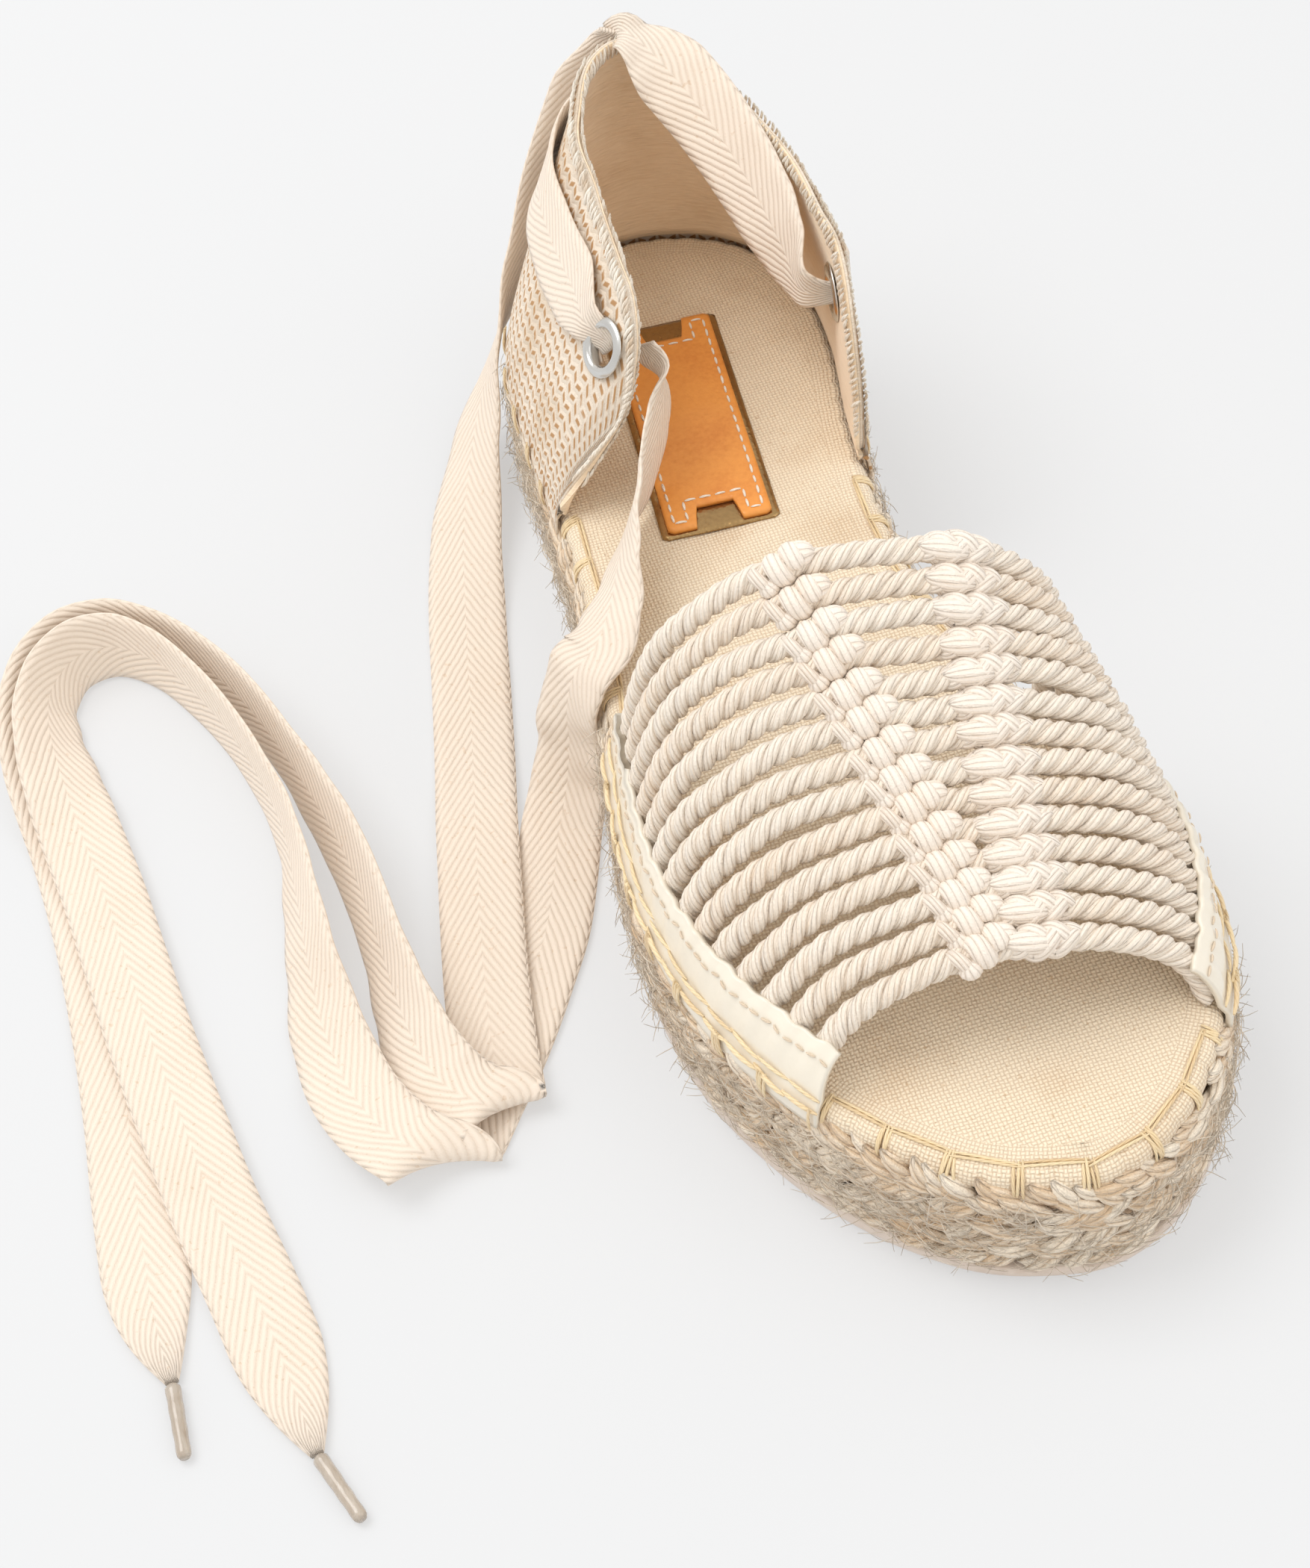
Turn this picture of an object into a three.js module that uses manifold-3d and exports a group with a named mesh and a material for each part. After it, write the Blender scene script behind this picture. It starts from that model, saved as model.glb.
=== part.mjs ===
// Right-foot rope sandal: braided jute sole, canvas insole, knotted rope vamp, soft heel counter
// and one long cotton tie. Millimetres, +Z up, toe at -Y, medial side at +X, floor at z = 0.
import * as THREE from "three";
import { mergeVertices } from "three/addons/utils/BufferGeometryUtils.js";
import Module from "manifold-3d";

const wasm = await Module();
wasm.setup();

// Driving dimensions
const insoleLength = 245;
const ballWidth = 87.5;
const insoleTop = 31;
const insoleThickness = 5.4;
const outsoleThickness = 4.6;
const outsoleEdge = 0.9;
const juteCourses = 3;
const toeSpring = 2.2;
const heelLift = 0.8;
const layerGap = 0.3;
const rimReach = 2.0;
const soleReach = 3.6;
const instepRise = 49.5;
const heelRise = 51;
const counterWall = 2.0;
const counterInset = 0.3;
const counterLift = 0.9;
const skirtWall = 1.2;
const skirtDrop = 4.6;
const ropeRows = 14;
const ropeDiameter = 3.5;
const ropeInset = 1.25;
const ropeFootLift = 0.5;
const knotHeight = 3.1;
const knotLength = 8;
const bindingWall = 1.2;
const bindingHeight = 10;
const eyeletBore = 7.2;
const eyeletBarrel = 0.7;
const eyeletFlange = 12;
const eyeletSheet = 0.7;
const eyeletLip = 1;
const labelWidth = 23.5;
const labelLength = 61;
const labelTurn = 5.4;
const labelBacking = 0.5;
const labelLeather = 1.0;
const labelMargin = 1.4;
const labelNotchWidth = 9.5;
const labelNotchDepth = 5.5;
const tieWidth = 16;
const tieThickness = 1.2;
const tieTaper = 24;
const agletLength = 14;
const agletRadius = 1.4;
const agletGap = 0.65;
const floorGap = 0.1;

// Worked-out levels and how fine the meshes are
const insoleBottom = insoleTop - insoleThickness;
const juteBottom = outsoleThickness + layerGap;
const juteTop = insoleBottom - layerGap;
const courseHeight = (juteTop - juteBottom - (juteCourses - 1) * layerGap) / juteCourses;
const halfLength = insoleLength / 2;
const outlinePoints = 64;
const denseOutline = 720;
const counterStations = 26;
const counterSteps = 6;
const bindingStations = 14;
const wrapStations = 22;
const eyeletSegments = 14;
const agletSegments = 8;
const footColumns = 6;
const tapeStep = 13;

// Flat outline of the insole, where the edge stitches go in: shares of length from the heel and of
// ball width to each side of the centre line
const outlineTable = [
  { along: 0.0, lateral: 0.005, medial: 0.005 },
  { along: 0.008, lateral: -0.109, medial: 0.122 },
  { along: 0.029, lateral: -0.211, medial: 0.225 },
  { along: 0.065, lateral: -0.297, medial: 0.305 },
  { along: 0.122, lateral: -0.342, medial: 0.348 },
  { along: 0.196, lateral: -0.355, medial: 0.342 },
  { along: 0.286, lateral: -0.363, medial: 0.295 },
  { along: 0.376, lateral: -0.381, medial: 0.265 },
  { along: 0.469, lateral: -0.412, medial: 0.269 },
  { along: 0.563, lateral: -0.463, medial: 0.327 },
  { along: 0.645, lateral: -0.497, medial: 0.409 },
  { along: 0.714, lateral: -0.5, medial: 0.47 },
  { along: 0.784, lateral: -0.468, medial: 0.5 },
  { along: 0.845, lateral: -0.403, medial: 0.487 },
  { along: 0.898, lateral: -0.321, medial: 0.441 },
  { along: 0.943, lateral: -0.218, medial: 0.362 },
  { along: 0.976, lateral: -0.109, medial: 0.269 },
  { along: 0.994, lateral: 0.01, medial: 0.179 },
  { along: 1.0, lateral: 0.097, medial: 0.097 },
];

// Vamp arches from its back edge to its toe edge. Feet are shares of the insole's length, rise of
// the instep's rise, lean of the length and shift of the ball width; knots are shares of the arch
const archTable = [
  { footLateral: 0.56, footMedial: 0.628, rise: 1.0, lean: -0.0155, shift: 0.088, round: 0.574,
    knotLateral: 0.393, knotMedial: 0.616 },
  { footLateral: 0.719, footMedial: 0.768, rise: 0.634, lean: 0.0038, shift: 0.05, round: 0.856,
    knotLateral: 0.457, knotMedial: 0.564 },
  { footLateral: 0.878, footMedial: 0.907, rise: 0.368, lean: 0.0231, shift: 0.012, round: 1.137,
    knotLateral: 0.475, knotMedial: 0.547 },
];
const archSquareness = 0.874;

// Collar of the heel counter, from its lateral front end round the heel to its medial front end.
// Around is a share of the counter's own arc, rise of the heel's rise, lean and back of the width
const collarTable = [
  { around: -1.0, rise: 0.05, lean: 0.0, back: 0.0 },
  { around: -0.955, rise: 0.36, lean: 0.165, back: -0.035 },
  { around: -0.91, rise: 0.6, lean: 0.22, back: -0.06 },
  { around: -0.85, rise: 0.76, lean: 0.245, back: -0.05 },
  { around: -0.76, rise: 0.81, lean: 0.25, back: -0.03 },
  { around: -0.62, rise: 0.82, lean: 0.255, back: -0.025 },
  { around: -0.45, rise: 0.85, lean: 0.24, back: -0.035 },
  { around: -0.3, rise: 0.9, lean: 0.19, back: -0.045 },
  { around: -0.12, rise: 0.97, lean: 0.105, back: -0.03 },
  { around: 0.0, rise: 1.0, lean: 0.058, back: -0.022 },
  { around: 0.12, rise: 0.97, lean: 0.0, back: -0.03 },
  { around: 0.3, rise: 0.86, lean: -0.035, back: -0.045 },
  { around: 0.5, rise: 0.78, lean: -0.038, back: -0.035 },
  { around: 0.66, rise: 0.76, lean: -0.02, back: -0.035 },
  { around: 0.76, rise: 0.73, lean: 0.0, back: -0.035 },
  { around: 0.86, rise: 0.58, lean: 0.0, back: -0.055 },
  { around: 0.94, rise: 0.32, lean: 0.0, back: -0.05 },
  { around: 1.0, rise: 0.05, lean: 0.0, back: 0.0 },
];
const counterEnds = { lateral: 0.296, medial: 0.329 };
const wallBow = 1.3;

// Where the eyelets sit on the counter: share of its arc and share of its height
const eyeletPlaces = [
  { name: "eyelet_lateral", around: -0.855, up: 0.78 },
  { name: "eyelet_medial", around: 0.76, up: 0.66 },
];

// Middle of the label on the insole, as shares of its length and of the ball width
const labelPlace = { along: 0.235, across: -0.03 };

// The tie's loose ends, laid on the floor: x, y, z of the tape's middle line and its tilt in degrees,
// 0 or 180 lying flat and 90 standing on its edge. Each end turns over once, at its fold
const tieEndA = [
  [-10.5, 61, 59, 92], [-8.5, 57.5, 53.5, 90], [-11.5, 52, 47.5, 90], [-16.5, 45, 42, 94],
  [-22.5, 36, 40.3, 108], [-28, 26, 38.4, 125], [-33, 16.5, 36.6, 148], [-37.8, 10.4, 35.2, 170],
  [-42.2, 8.6, 32.4, 180], [-45, 7.6, 25, 180], [-46.2, 6.8, 15.5, 180], [-48.4, 4.8, 6.6, 180],
  [-52, -0.5, 1.9, 180], [-56.6, -12, 0.9, 180], [-61.5, -23.5, 0.9, 180], [-67, -32.7, 0.9, 180],
  [-72.4, -41.2, 0.9, 180], [-77.6, -48.6, 0.9, 180], [-83.4, -56, 0.9, 180], [-88.4, -62.6, 0.9, 180],
  [-90.3, -65.5, 2, 148], [-92.4, -67, 4.6, 90], [-94.9, -66.3, 7.2, 32], [-97.6, -64.1, 8.3, 0],
  [-101.6, -56.4, 6.3, 5], [-104.6, -46.5, 4.9, 12], [-106, -32, 5.1, 30], [-105.2, -16, 6.8, 50],
  [-103.9, -1, 7.6, 61], [-103, 13, 8.1, 72], [-104.8, 28, 8.4, 78], [-108.2, 42.5, 8.5, 80],
  [-112.8, 55, 8.5, 80], [-119.2, 67, 8.5, 80], [-126.5, 73.6, 8.5, 78], [-134.2, 73.6, 8.5, 73],
  [-140.6, 67, 8.2, 63], [-143, 57.4, 7.2, 46], [-142.8, 45, 5.2, 25], [-141.8, 33, 3.2, 4],
  [-140, 16, 2.4, 0], [-138.8, -2, 2.4, 0], [-137.6, -20, 2.4, 0], [-135.6, -40, 2.4, 0],
  [-133.4, -60, 2.4, 0], [-130.3, -79.5, 1.6, 0], [-128.2, -96, 0.9, 0], [-126.5, -112.5, 1.5, 0],
];
const tieEndB = [
  [6, 124.6, 83.2, 135], [4.4, 127.4, 77.5, 102], [-1, 129, 68, 92], [-10.5, 127.8, 52, 92],
  [-20.5, 123, 36, 100], [-31.2, 114.6, 21.5, 118], [-41.4, 100.5, 10.2, 142], [-50, 80, 3.6, 166],
  [-55.8, 58, 1.2, 180], [-60.2, 38, 0.9, 180], [-64.2, 20, 1.2, 180], [-67.4, 6, 2.3, 180],
  [-70.3, -7.5, 2.65, 180], [-73.2, -20.7, 2.65, 180], [-76.2, -36, 2.65, 180], [-78.2, -49, 2.65, 180],
  [-79.3, -57.4, 2.65, 180], [-79.8, -59.2, 3.2, 151], [-80.6, -60.2, 4.7, 90], [-81.9, -60, 6.2, 29],
  [-83.5, -58.9, 6.8, 0], [-86.4, -56, 6.8, 6], [-89.1, -50.8, 6.6, 20], [-91, -42, 6.7, 36],
  [-91.7, -31, 7, 50], [-91.8, -19, 7.6, 60], [-92.2, -6, 7.7, 62], [-93.4, 6, 7.8, 64],
  [-95.8, 19, 8.1, 69], [-99, 33, 8.4, 76], [-103.6, 48, 8.7, 78], [-110, 61.4, 8.7, 80],
  [-118, 71.8, 8.7, 80], [-126.6, 77.6, 8.7, 78], [-136, 77, 8.6, 72], [-143.2, 69.2, 8, 61],
  [-146, 58.6, 6.4, 42], [-145.8, 46, 3.6, 19], [-144.4, 31, 0.9, 0], [-143.4, 10, 0.9, 0],
  [-143.6, -10, 0.9, 0], [-145, -35.5, 0.9, 0], [-146.6, -53, 0.9, 0], [-147.6, -68, 0.9, 0],
  [-148, -79, 1, 0], [-147.2, -91, 1.5, 0],
];
const agletAims = { a: [0.31, -0.95], b: [-0.04, -1] };

// The stretch of the tie that crosses the inside of the medial quarter and the collar's back
const tieOverRoute = [
  [23.4, 65, 57.5, 84], [23.2, 74, 60.2, 68], [22.2, 84.5, 64, 52], [20.6, 94.5, 68, 46],
  [18, 104, 72.6, 40], [14.6, 111.6, 77.4, 30], [11, 117.2, 81.6, 16], [8.2, 120.8, 83.9, 0],
];

// General helpers
const lerp = (a, b, share) => a + (b - a) * share;
const clamp = (value, low, high) => Math.min(high, Math.max(low, value));
const smooth = (share) => share * share * (3 - 2 * share);

function readTable(table, key, at, column) {
  const last = table.length - 1;
  const value = clamp(at, table[0][key], table[last][key]);
  let row = 0;
  while (row < last - 1 && value > table[row + 1][key]) row += 1;
  const share = (value - table[row][key]) / (table[row + 1][key] - table[row][key]);
  const before = table[Math.max(row - 1, 0)];
  const after = table[Math.min(row + 2, last)];
  const here = table[row];
  const next = table[row + 1];
  const slopeHere = (next[column] - before[column]) / (next[key] - before[key]);
  const slopeNext = (after[column] - here[column]) / (after[key] - here[key]);
  const span = next[key] - here[key];
  const s2 = share * share;
  const s3 = s2 * share;
  return (2 * s3 - 3 * s2 + 1) * here[column] + (s3 - 2 * s2 + share) * span * slopeHere
    + (3 * s2 - 2 * s3) * next[column] + (s3 - s2) * span * slopeNext;
}

function threeRow(column, at) {
  const [first, middle, last] = archTable.map((row) => row[column]);
  return first * (1 - at) * (1 - 2 * at) + middle * 4 * at * (1 - at) + last * at * (2 * at - 1);
}

// Closed outline as a smooth curve, and places on it by side and distance from the heel
function buildOutline() {
  const place = (row, side) => (
    new THREE.Vector3(row[side] * ballWidth, halfLength - row.along * insoleLength, 0));
  const down = outlineTable.map((row) => place(row, "lateral"));
  const up = outlineTable.slice(1, -1).reverse().map((row) => place(row, "medial"));
  const curve = new THREE.CatmullRomCurve3([...down, ...up], true, "centripetal");
  curve.arcLengthDivisions = denseOutline;
  return curve;
}
const outline = buildOutline();
const outlineLength = outline.getLength();
const denseSpots = outline.getSpacedPoints(denseOutline).slice(0, denseOutline);

function outlineSpot(share, offset) {
  const at = ((share % 1) + 1) % 1;
  const spot = outline.getPointAt(at);
  const step = 2 / outlineLength;
  const ahead = outline.getPointAt((at + step) % 1);
  const behind = outline.getPointAt((at - step + 1) % 1);
  const run = ahead.sub(behind).normalize();
  return new THREE.Vector3(spot.x + run.y * offset, spot.y - run.x * offset, 0);
}

function shareAt(side, along) {
  const y = halfLength - along * insoleLength;
  const toeIndex = denseSpots.reduce((best, spot, i) => (spot.y < denseSpots[best].y ? i : best), 0);
  let best = 0;
  let nearest = Infinity;
  denseSpots.forEach((spot, i) => {
    const onSide = side === "lateral" ? i <= toeIndex : i >= toeIndex;
    const miss = Math.abs(spot.y - y);
    if (onSide && miss < nearest) {
      nearest = miss;
      best = i;
    }
  });
  return best / denseOutline;
}

// Under-surface of the sole: flat at heel and ball, lifted at the toe and a little at the heel.
// Each lift starts, and then runs, at these shares of half the length
const toeLift = { start: 0.62, run: 0.41 };
const heelEdgeLift = { start: 0.82, run: 0.21 };

function soleLift(y) {
  const toeShare = clamp((-y - halfLength * toeLift.start) / (halfLength * toeLift.run), 0, 1);
  const heelShare = clamp((y - halfLength * heelEdgeLift.start) / (halfLength * heelEdgeLift.run), 0, 1);
  return toeSpring * toeShare * toeShare + heelLift * heelShare * heelShare;
}

// Mesh makers
function finish(vertices, faces) {
  const geometry = new THREE.BufferGeometry();
  const numbers = vertices.flatMap((vertex) => [vertex.x, vertex.y, vertex.z]);
  geometry.setAttribute("position", new THREE.Float32BufferAttribute(numbers, 3));
  let volume = 0;
  faces.forEach(([a, b, c]) => {
    volume += vertices[a].dot(new THREE.Vector3().crossVectors(vertices[b], vertices[c]));
  });
  const wound = volume < 0 ? faces.map(([a, b, c]) => [a, c, b]) : faces;
  geometry.setIndex(wound.flat());
  return geometry;
}

function ringSolid(rings) {
  const count = rings[0].length;
  const faces = sideFaces(rings.length, count);
  const top = (rings.length - 1) * count;
  for (let i = 0; i < count / 2; i += 1) {
    const far = (count - i) % count;
    const strip = [[i, i + 1, count - i - 1], [i, count - i - 1, far]];
    strip.filter(([p, q, r]) => p !== q && q !== r && r !== p).forEach(([p, q, r]) => {
      faces.push([p, r, q], [top + p, top + q, top + r]);
    });
  }
  return finish(rings.flat(), faces);
}

function sideFaces(ringCount, count) {
  const faces = [];
  for (let r = 0; r < ringCount - 1; r += 1) {
    for (let i = 0; i < count; i += 1) {
      const next = (i + 1) % count;
      const [a, b, c, d] = [r * count + i, r * count + next, (r + 1) * count + next, (r + 1) * count + i];
      faces.push([a, b, c], [a, c, d]);
    }
  }
  return faces;
}

// Closed sheet from two grids of points; cells that filled() refuses become openings right through
function gridSolid(outer, inner, filled = () => true) {
  const rows = outer.length - 1;
  const columns = outer[0].length - 1;
  const vertices = [];
  const numbers = new Map();
  const number = (grid, layer, i, j) => {
    const key = `${layer}:${i}:${j}`;
    if (!numbers.has(key)) {
      numbers.set(key, vertices.length);
      vertices.push(grid[i][j]);
    }
    return numbers.get(key);
  };
  const top = (i, j) => number(outer, "outer", i, j);
  const under = (i, j) => number(inner, "inner", i, j);
  const solid = (i, j) => i >= 0 && j >= 0 && i < rows && j < columns && filled(i, j);
  const faces = [];
  const square = (a, b, c, d) => faces.push([a, b, c], [a, c, d]);
  const wall = (i0, j0, i1, j1) => square(top(i0, j0), under(i0, j0), under(i1, j1), top(i1, j1));
  for (let i = 0; i < rows; i += 1) {
    for (let j = 0; j < columns; j += 1) {
      if (solid(i, j)) {
        square(top(i, j), top(i + 1, j), top(i + 1, j + 1), top(i, j + 1));
        faces.push([under(i, j), under(i + 1, j + 1), under(i + 1, j)]);
        faces.push([under(i, j), under(i, j + 1), under(i + 1, j + 1)]);
        if (!solid(i - 1, j)) wall(i, j + 1, i, j);
        if (!solid(i + 1, j)) wall(i + 1, j, i + 1, j + 1);
        if (!solid(i, j - 1)) wall(i, j, i + 1, j);
        if (!solid(i, j + 1)) wall(i + 1, j + 1, i, j + 1);
      }
    }
  }
  return finish(vertices, faces);
}

function gridNormals(grid) {
  const rows = grid.length - 1;
  const columns = grid[0].length - 1;
  return grid.map((line, i) => line.map((spot, j) => {
    const along = grid[Math.min(i + 1, rows)][j].clone().sub(grid[Math.max(i - 1, 0)][j]);
    const across = grid[i][Math.min(j + 1, columns)].clone().sub(grid[i][Math.max(j - 1, 0)]);
    return new THREE.Vector3().crossVectors(across, along).normalize();
  }));
}

function thickened(middle, outwards, half) {
  const normals = gridNormals(middle);
  const shift = (side) => middle.map((line, i) => line.map((spot, j) => (
    spot.clone().addScaledVector(normals[i][j], side * outwards * half(i, j, side)))));
  return gridSolid(shift(1), shift(-1));
}

function toManifold(geometry) {
  const bare = geometry.clone();
  bare.deleteAttribute("normal");
  bare.deleteAttribute("uv");
  const merged = mergeVertices(bare, 1e-4);
  return new wasm.Manifold(new wasm.Mesh({
    numProp: 3,
    vertProperties: new Float32Array(merged.attributes.position.array),
    triVerts: new Uint32Array(merged.index.array),
  }));
}

function fromManifold(solid) {
  const mesh = solid.getMesh();
  const geometry = new THREE.BufferGeometry();
  geometry.setAttribute("position", new THREE.BufferAttribute(new Float32Array(mesh.vertProperties), 3));
  geometry.setIndex(new THREE.BufferAttribute(new Uint32Array(mesh.triVerts), 1));
  return geometry;
}

// Sole
function outlineRing(offset, height) {
  return Array.from({ length: outlinePoints }, (_, i) => {
    const spot = outlineSpot(i / outlinePoints, offset);
    spot.z = height(spot.y);
    return spot;
  });
}

function makeOutsole() {
  const rings = [
    outlineRing(soleReach - outsoleEdge, soleLift),
    outlineRing(soleReach, (y) => soleLift(y) + outsoleEdge),
    outlineRing(soleReach, () => outsoleThickness - outsoleEdge / 2),
    outlineRing(soleReach - outsoleEdge / 2, () => outsoleThickness),
  ];
  return ringSolid(rings);
}

function makeJuteCourse(index) {
  const bottom = juteBottom + index * (courseHeight + layerGap);
  const bulge = [
    { up: 0, out: 0.42 },
    { up: 0.26, out: 0.94 },
    { up: 0.74, out: 0.94 },
    { up: 1, out: 0.42 },
  ];
  const reach = soleReach - layerGap / 2;
  return ringSolid(bulge.map(({ up, out }) => outlineRing(out * reach, () => bottom + up * courseHeight)));
}

function makeInsole() {
  const rim = [
    { down: 1, out: 0.75 },
    { down: 0.62, out: 1 },
    { down: 0.3, out: 0.85 },
    { down: 0.08, out: 0.3 },
    { down: 0, out: -0.55 },
  ];
  const level = (down) => insoleTop - down * insoleThickness;
  return ringSolid(rim.map(({ down, out }) => outlineRing(out * rimReach, () => level(down))));
}

// Skirt that a piece of the upper turns down over the insole's rim, from its lower edge to its foot
const skirtProfile = [
  { down: 1, out: 1, wall: 1 },
  { down: 0.5, out: 1, wall: 1 },
  { down: 0.12, out: 0.9, wall: 1 },
];

function skirtSpot(share, row, wall) {
  const spot = outlineSpot(share, (rimReach + layerGap + wall / 2) * row.out);
  spot.z = insoleTop + layerGap - row.down * skirtDrop;
  return spot;
}

// Heel counter
const heelShares = {
  lateral: shareAt("lateral", counterEnds.lateral),
  medial: shareAt("medial", counterEnds.medial) - 1,
};
const counterFoot = rimReach - counterInset;

function counterShare(around) {
  return around < 0 ? -around * heelShares.lateral : around * heelShares.medial;
}

function counterPoint(around, up) {
  const spot = outlineSpot(counterShare(around), counterFoot);
  const lean = readTable(collarTable, "around", around, "lean") * ballWidth;
  const back = readTable(collarTable, "around", around, "back") * ballWidth;
  const rise = readTable(collarTable, "around", around, "rise") * heelRise;
  const bow = up ** wallBow;
  return new THREE.Vector3(spot.x + lean * bow, spot.y + back * bow, insoleTop + counterLift + rise * up);
}

function counterNormal(around, up) {
  const step = 0.02;
  const along = counterPoint(around + step, up).sub(counterPoint(around - step, up));
  const rising = counterPoint(around, Math.min(up + step, 1)).sub(counterPoint(around, Math.max(up - step, 0)));
  return new THREE.Vector3().crossVectors(rising, along).normalize();
}

function counterFace(around, up, out) {
  return counterPoint(around, up).addScaledVector(counterNormal(around, up), out);
}

// Stations round the counter, a little closer together at its two front ends
const counterEase = 0.86;
const counterStops = Array.from({ length: counterStations + 1 }, (_, i) => {
  const share = (2 * i) / counterStations - 1;
  return Math.sign(share) * Math.abs(share) ** counterEase;
});

function counterBlank() {
  const middle = counterStops.map((around) => {
    const skirt = skirtProfile.map((row) => skirtSpot(counterShare(around), row, skirtWall));
    const wall = Array.from({ length: counterSteps + 1 }, (_, k) => counterPoint(around, k / counterSteps));
    return [...skirt, ...wall];
  });
  const half = (i, j) => (j < skirtProfile.length ? skirtWall : counterWall) / 2;
  return thickened(middle, 1, half);
}

// Eyelets
function placeOnWall(geometry, place) {
  const axis = counterNormal(place.around, place.up);
  const turn = new THREE.Quaternion().setFromUnitVectors(new THREE.Vector3(0, 1, 0), axis);
  const centre = counterPoint(place.around, place.up);
  return geometry.clone().applyQuaternion(turn).translate(centre.x, centre.y, centre.z);
}

function latheOf(profile) {
  return new THREE.LatheGeometry(profile.map(([r, up]) => new THREE.Vector2(r, up)), eyeletSegments);
}

function makeEyelet(place) {
  const bore = eyeletBore / 2;
  const barrel = bore + eyeletBarrel;
  const flange = eyeletFlange / 2;
  const face = counterWall / 2 + layerGap;
  const crown = face + eyeletSheet;
  return placeOnWall(latheOf([
    [bore, -face], [bore + eyeletLip, -crown], [flange, -face], [barrel, -face],
    [barrel, face], [flange, face], [bore + eyeletLip, crown], [bore, face], [bore, -face],
  ]), place);
}

// Hole through the wall for an eyelet, with the wall pressed flat under both of its flanges
function eyeletSeat(place) {
  const room = layerGap / 2;
  const hole = eyeletBore / 2 + eyeletBarrel + room;
  const rim = eyeletFlange / 2 + room;
  const face = counterWall / 2 + layerGap - room;
  const through = counterWall * 4;
  return placeOnWall(latheOf([
    [0, -through], [rim, -through], [rim, -face], [hole, -face],
    [hole, face], [rim, face], [rim, through], [0, through],
  ]), place);
}

function makeCounter() {
  const cut = eyeletPlaces.reduce(
    (solid, place) => solid.subtract(toManifold(eyeletSeat(place))),
    toManifold(counterBlank()),
  );
  return fromManifold(cut);
}

// Vamp
function archPoint(at, angle) {
  const lateralShare = shareAt("lateral", threeRow("footLateral", at));
  const medialShare = shareAt("medial", threeRow("footMedial", at));
  return archFromFeet(at, angle, outlineSpot(lateralShare, -ropeInset), outlineSpot(medialShare, -ropeInset));
}

function archFromFeet(at, angle, lateral, medial) {
  const turn = Math.cos(angle);
  const across = (1 - Math.sign(turn) * Math.abs(turn) ** archSquareness) / 2;
  const rise = Math.max(Math.sin(angle), 0) ** threeRow("round", at);
  return new THREE.Vector3(
    lerp(lateral.x, medial.x, across) + threeRow("shift", at) * ballWidth * rise,
    lerp(lateral.y, medial.y, across) + threeRow("lean", at) * insoleLength * rise,
    insoleTop + ropeFootLift + threeRow("rise", at) * instepRise * rise,
  );
}

// Angles where the vamp's columns of points stand: rope, knot, link, knot, rope
const lateralKnotColumn = footColumns + 1;
const medialKnotColumn = footColumns + 5;
const columnEase = 1.45;
const knotReachShare = 0.42;

function archAngles(at) {
  const lateralKnot = Math.PI * threeRow("knotLateral", at);
  const medialKnot = Math.PI * threeRow("knotMedial", at);
  const reach = Math.min(knotLength / ballWidth, knotReachShare * (medialKnot - lateralKnot));
  const shares = Array.from({ length: footColumns }, (_, k) => (k / footColumns) ** columnEase);
  const lateral = shares.map((share) => (lateralKnot - reach) * share);
  const medial = shares.reverse().map((share) => Math.PI - (Math.PI - medialKnot - reach) * share);
  return [...lateral, lateralKnot - reach, lateralKnot, lateralKnot + reach, (lateralKnot + medialKnot) / 2,
    medialKnot - reach, medialKnot, medialKnot + reach, ...medial];
}

// Lines of points along the vamp, four to a rope: offsets in rope pitches on the rope and on its
// knots, and how much of the rope's and the knot's height stands there
const ropeLines = [
  { onRope: -0.31, onKnot: -0.44, swell: 0.36, crown: 0.45 },
  { onRope: -0.14, onKnot: -0.2, swell: 1, crown: 1 },
  { onRope: 0.14, onKnot: 0.2, swell: 1, crown: 1 },
  { onRope: 0.31, onKnot: 0.44, swell: 0.36, crown: 0.45 },
];
const linkedShare = 0.55;

function makeVamp() {
  const rows = Array.from({ length: ropeRows }, (_, row) => row);
  const lines = rows.flatMap((row) => ropeLines.map((line) => ({ row, ...line })));
  const isCrown = (j) => j === lateralKnotColumn || j === medialKnotColumn;
  const isKnot = (j) => isCrown(j - 1) || isCrown(j) || isCrown(j + 1);
  const middle = lines.map(({ row, onRope, onKnot }) => {
    const plain = (row + onRope) / (ropeRows - 1);
    const knotted = (row + onKnot) / (ropeRows - 1);
    return archAngles(clamp(plain, 0, 1)).map((angle, j) => archPoint(isCrown(j) ? knotted : plain, angle));
  });
  const normals = gridNormals(middle);
  const radius = ropeDiameter / 2;
  const side = (sign) => middle.map((points, i) => points.map((spot, j) => {
    const knot = (sign > 0 ? knotHeight : radius) * lines[i].crown;
    const height = isCrown(j) ? knot : radius * lines[i].swell;
    return spot.clone().addScaledVector(normals[i][j], sign * height);
  }));
  const columns = middle[0].length - 1;
  const linkFrom = Math.round(ropeRows * linkedShare);
  const filled = (i, j) => {
    const inRope = i % ropeLines.length !== ropeLines.length - 1;
    const nearKnot = isKnot(j) && isKnot(j + 1) && (isCrown(j) || isCrown(j + 1));
    const between = j > lateralKnotColumn && j < medialKnotColumn;
    const linked = between && Math.floor(i / ropeLines.length) >= linkFrom;
    return inRope || nearKnot || linked || j === 0 || j === columns - 1;
  };
  return gridSolid(side(1), side(-1), filled);
}

// Leather bindings that take the rope ends: how far each runs past the vamp's first and last rope
const bindingEnds = {
  lateral: { foot: "footLateral", back: 3.2, front: 3.2 },
  medial: { foot: "footMedial", back: 3.2, front: 2.2 },
};
const bindingLift = [0.06, 0.3, 0.62, 1];
const probe = 0.01;

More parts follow.
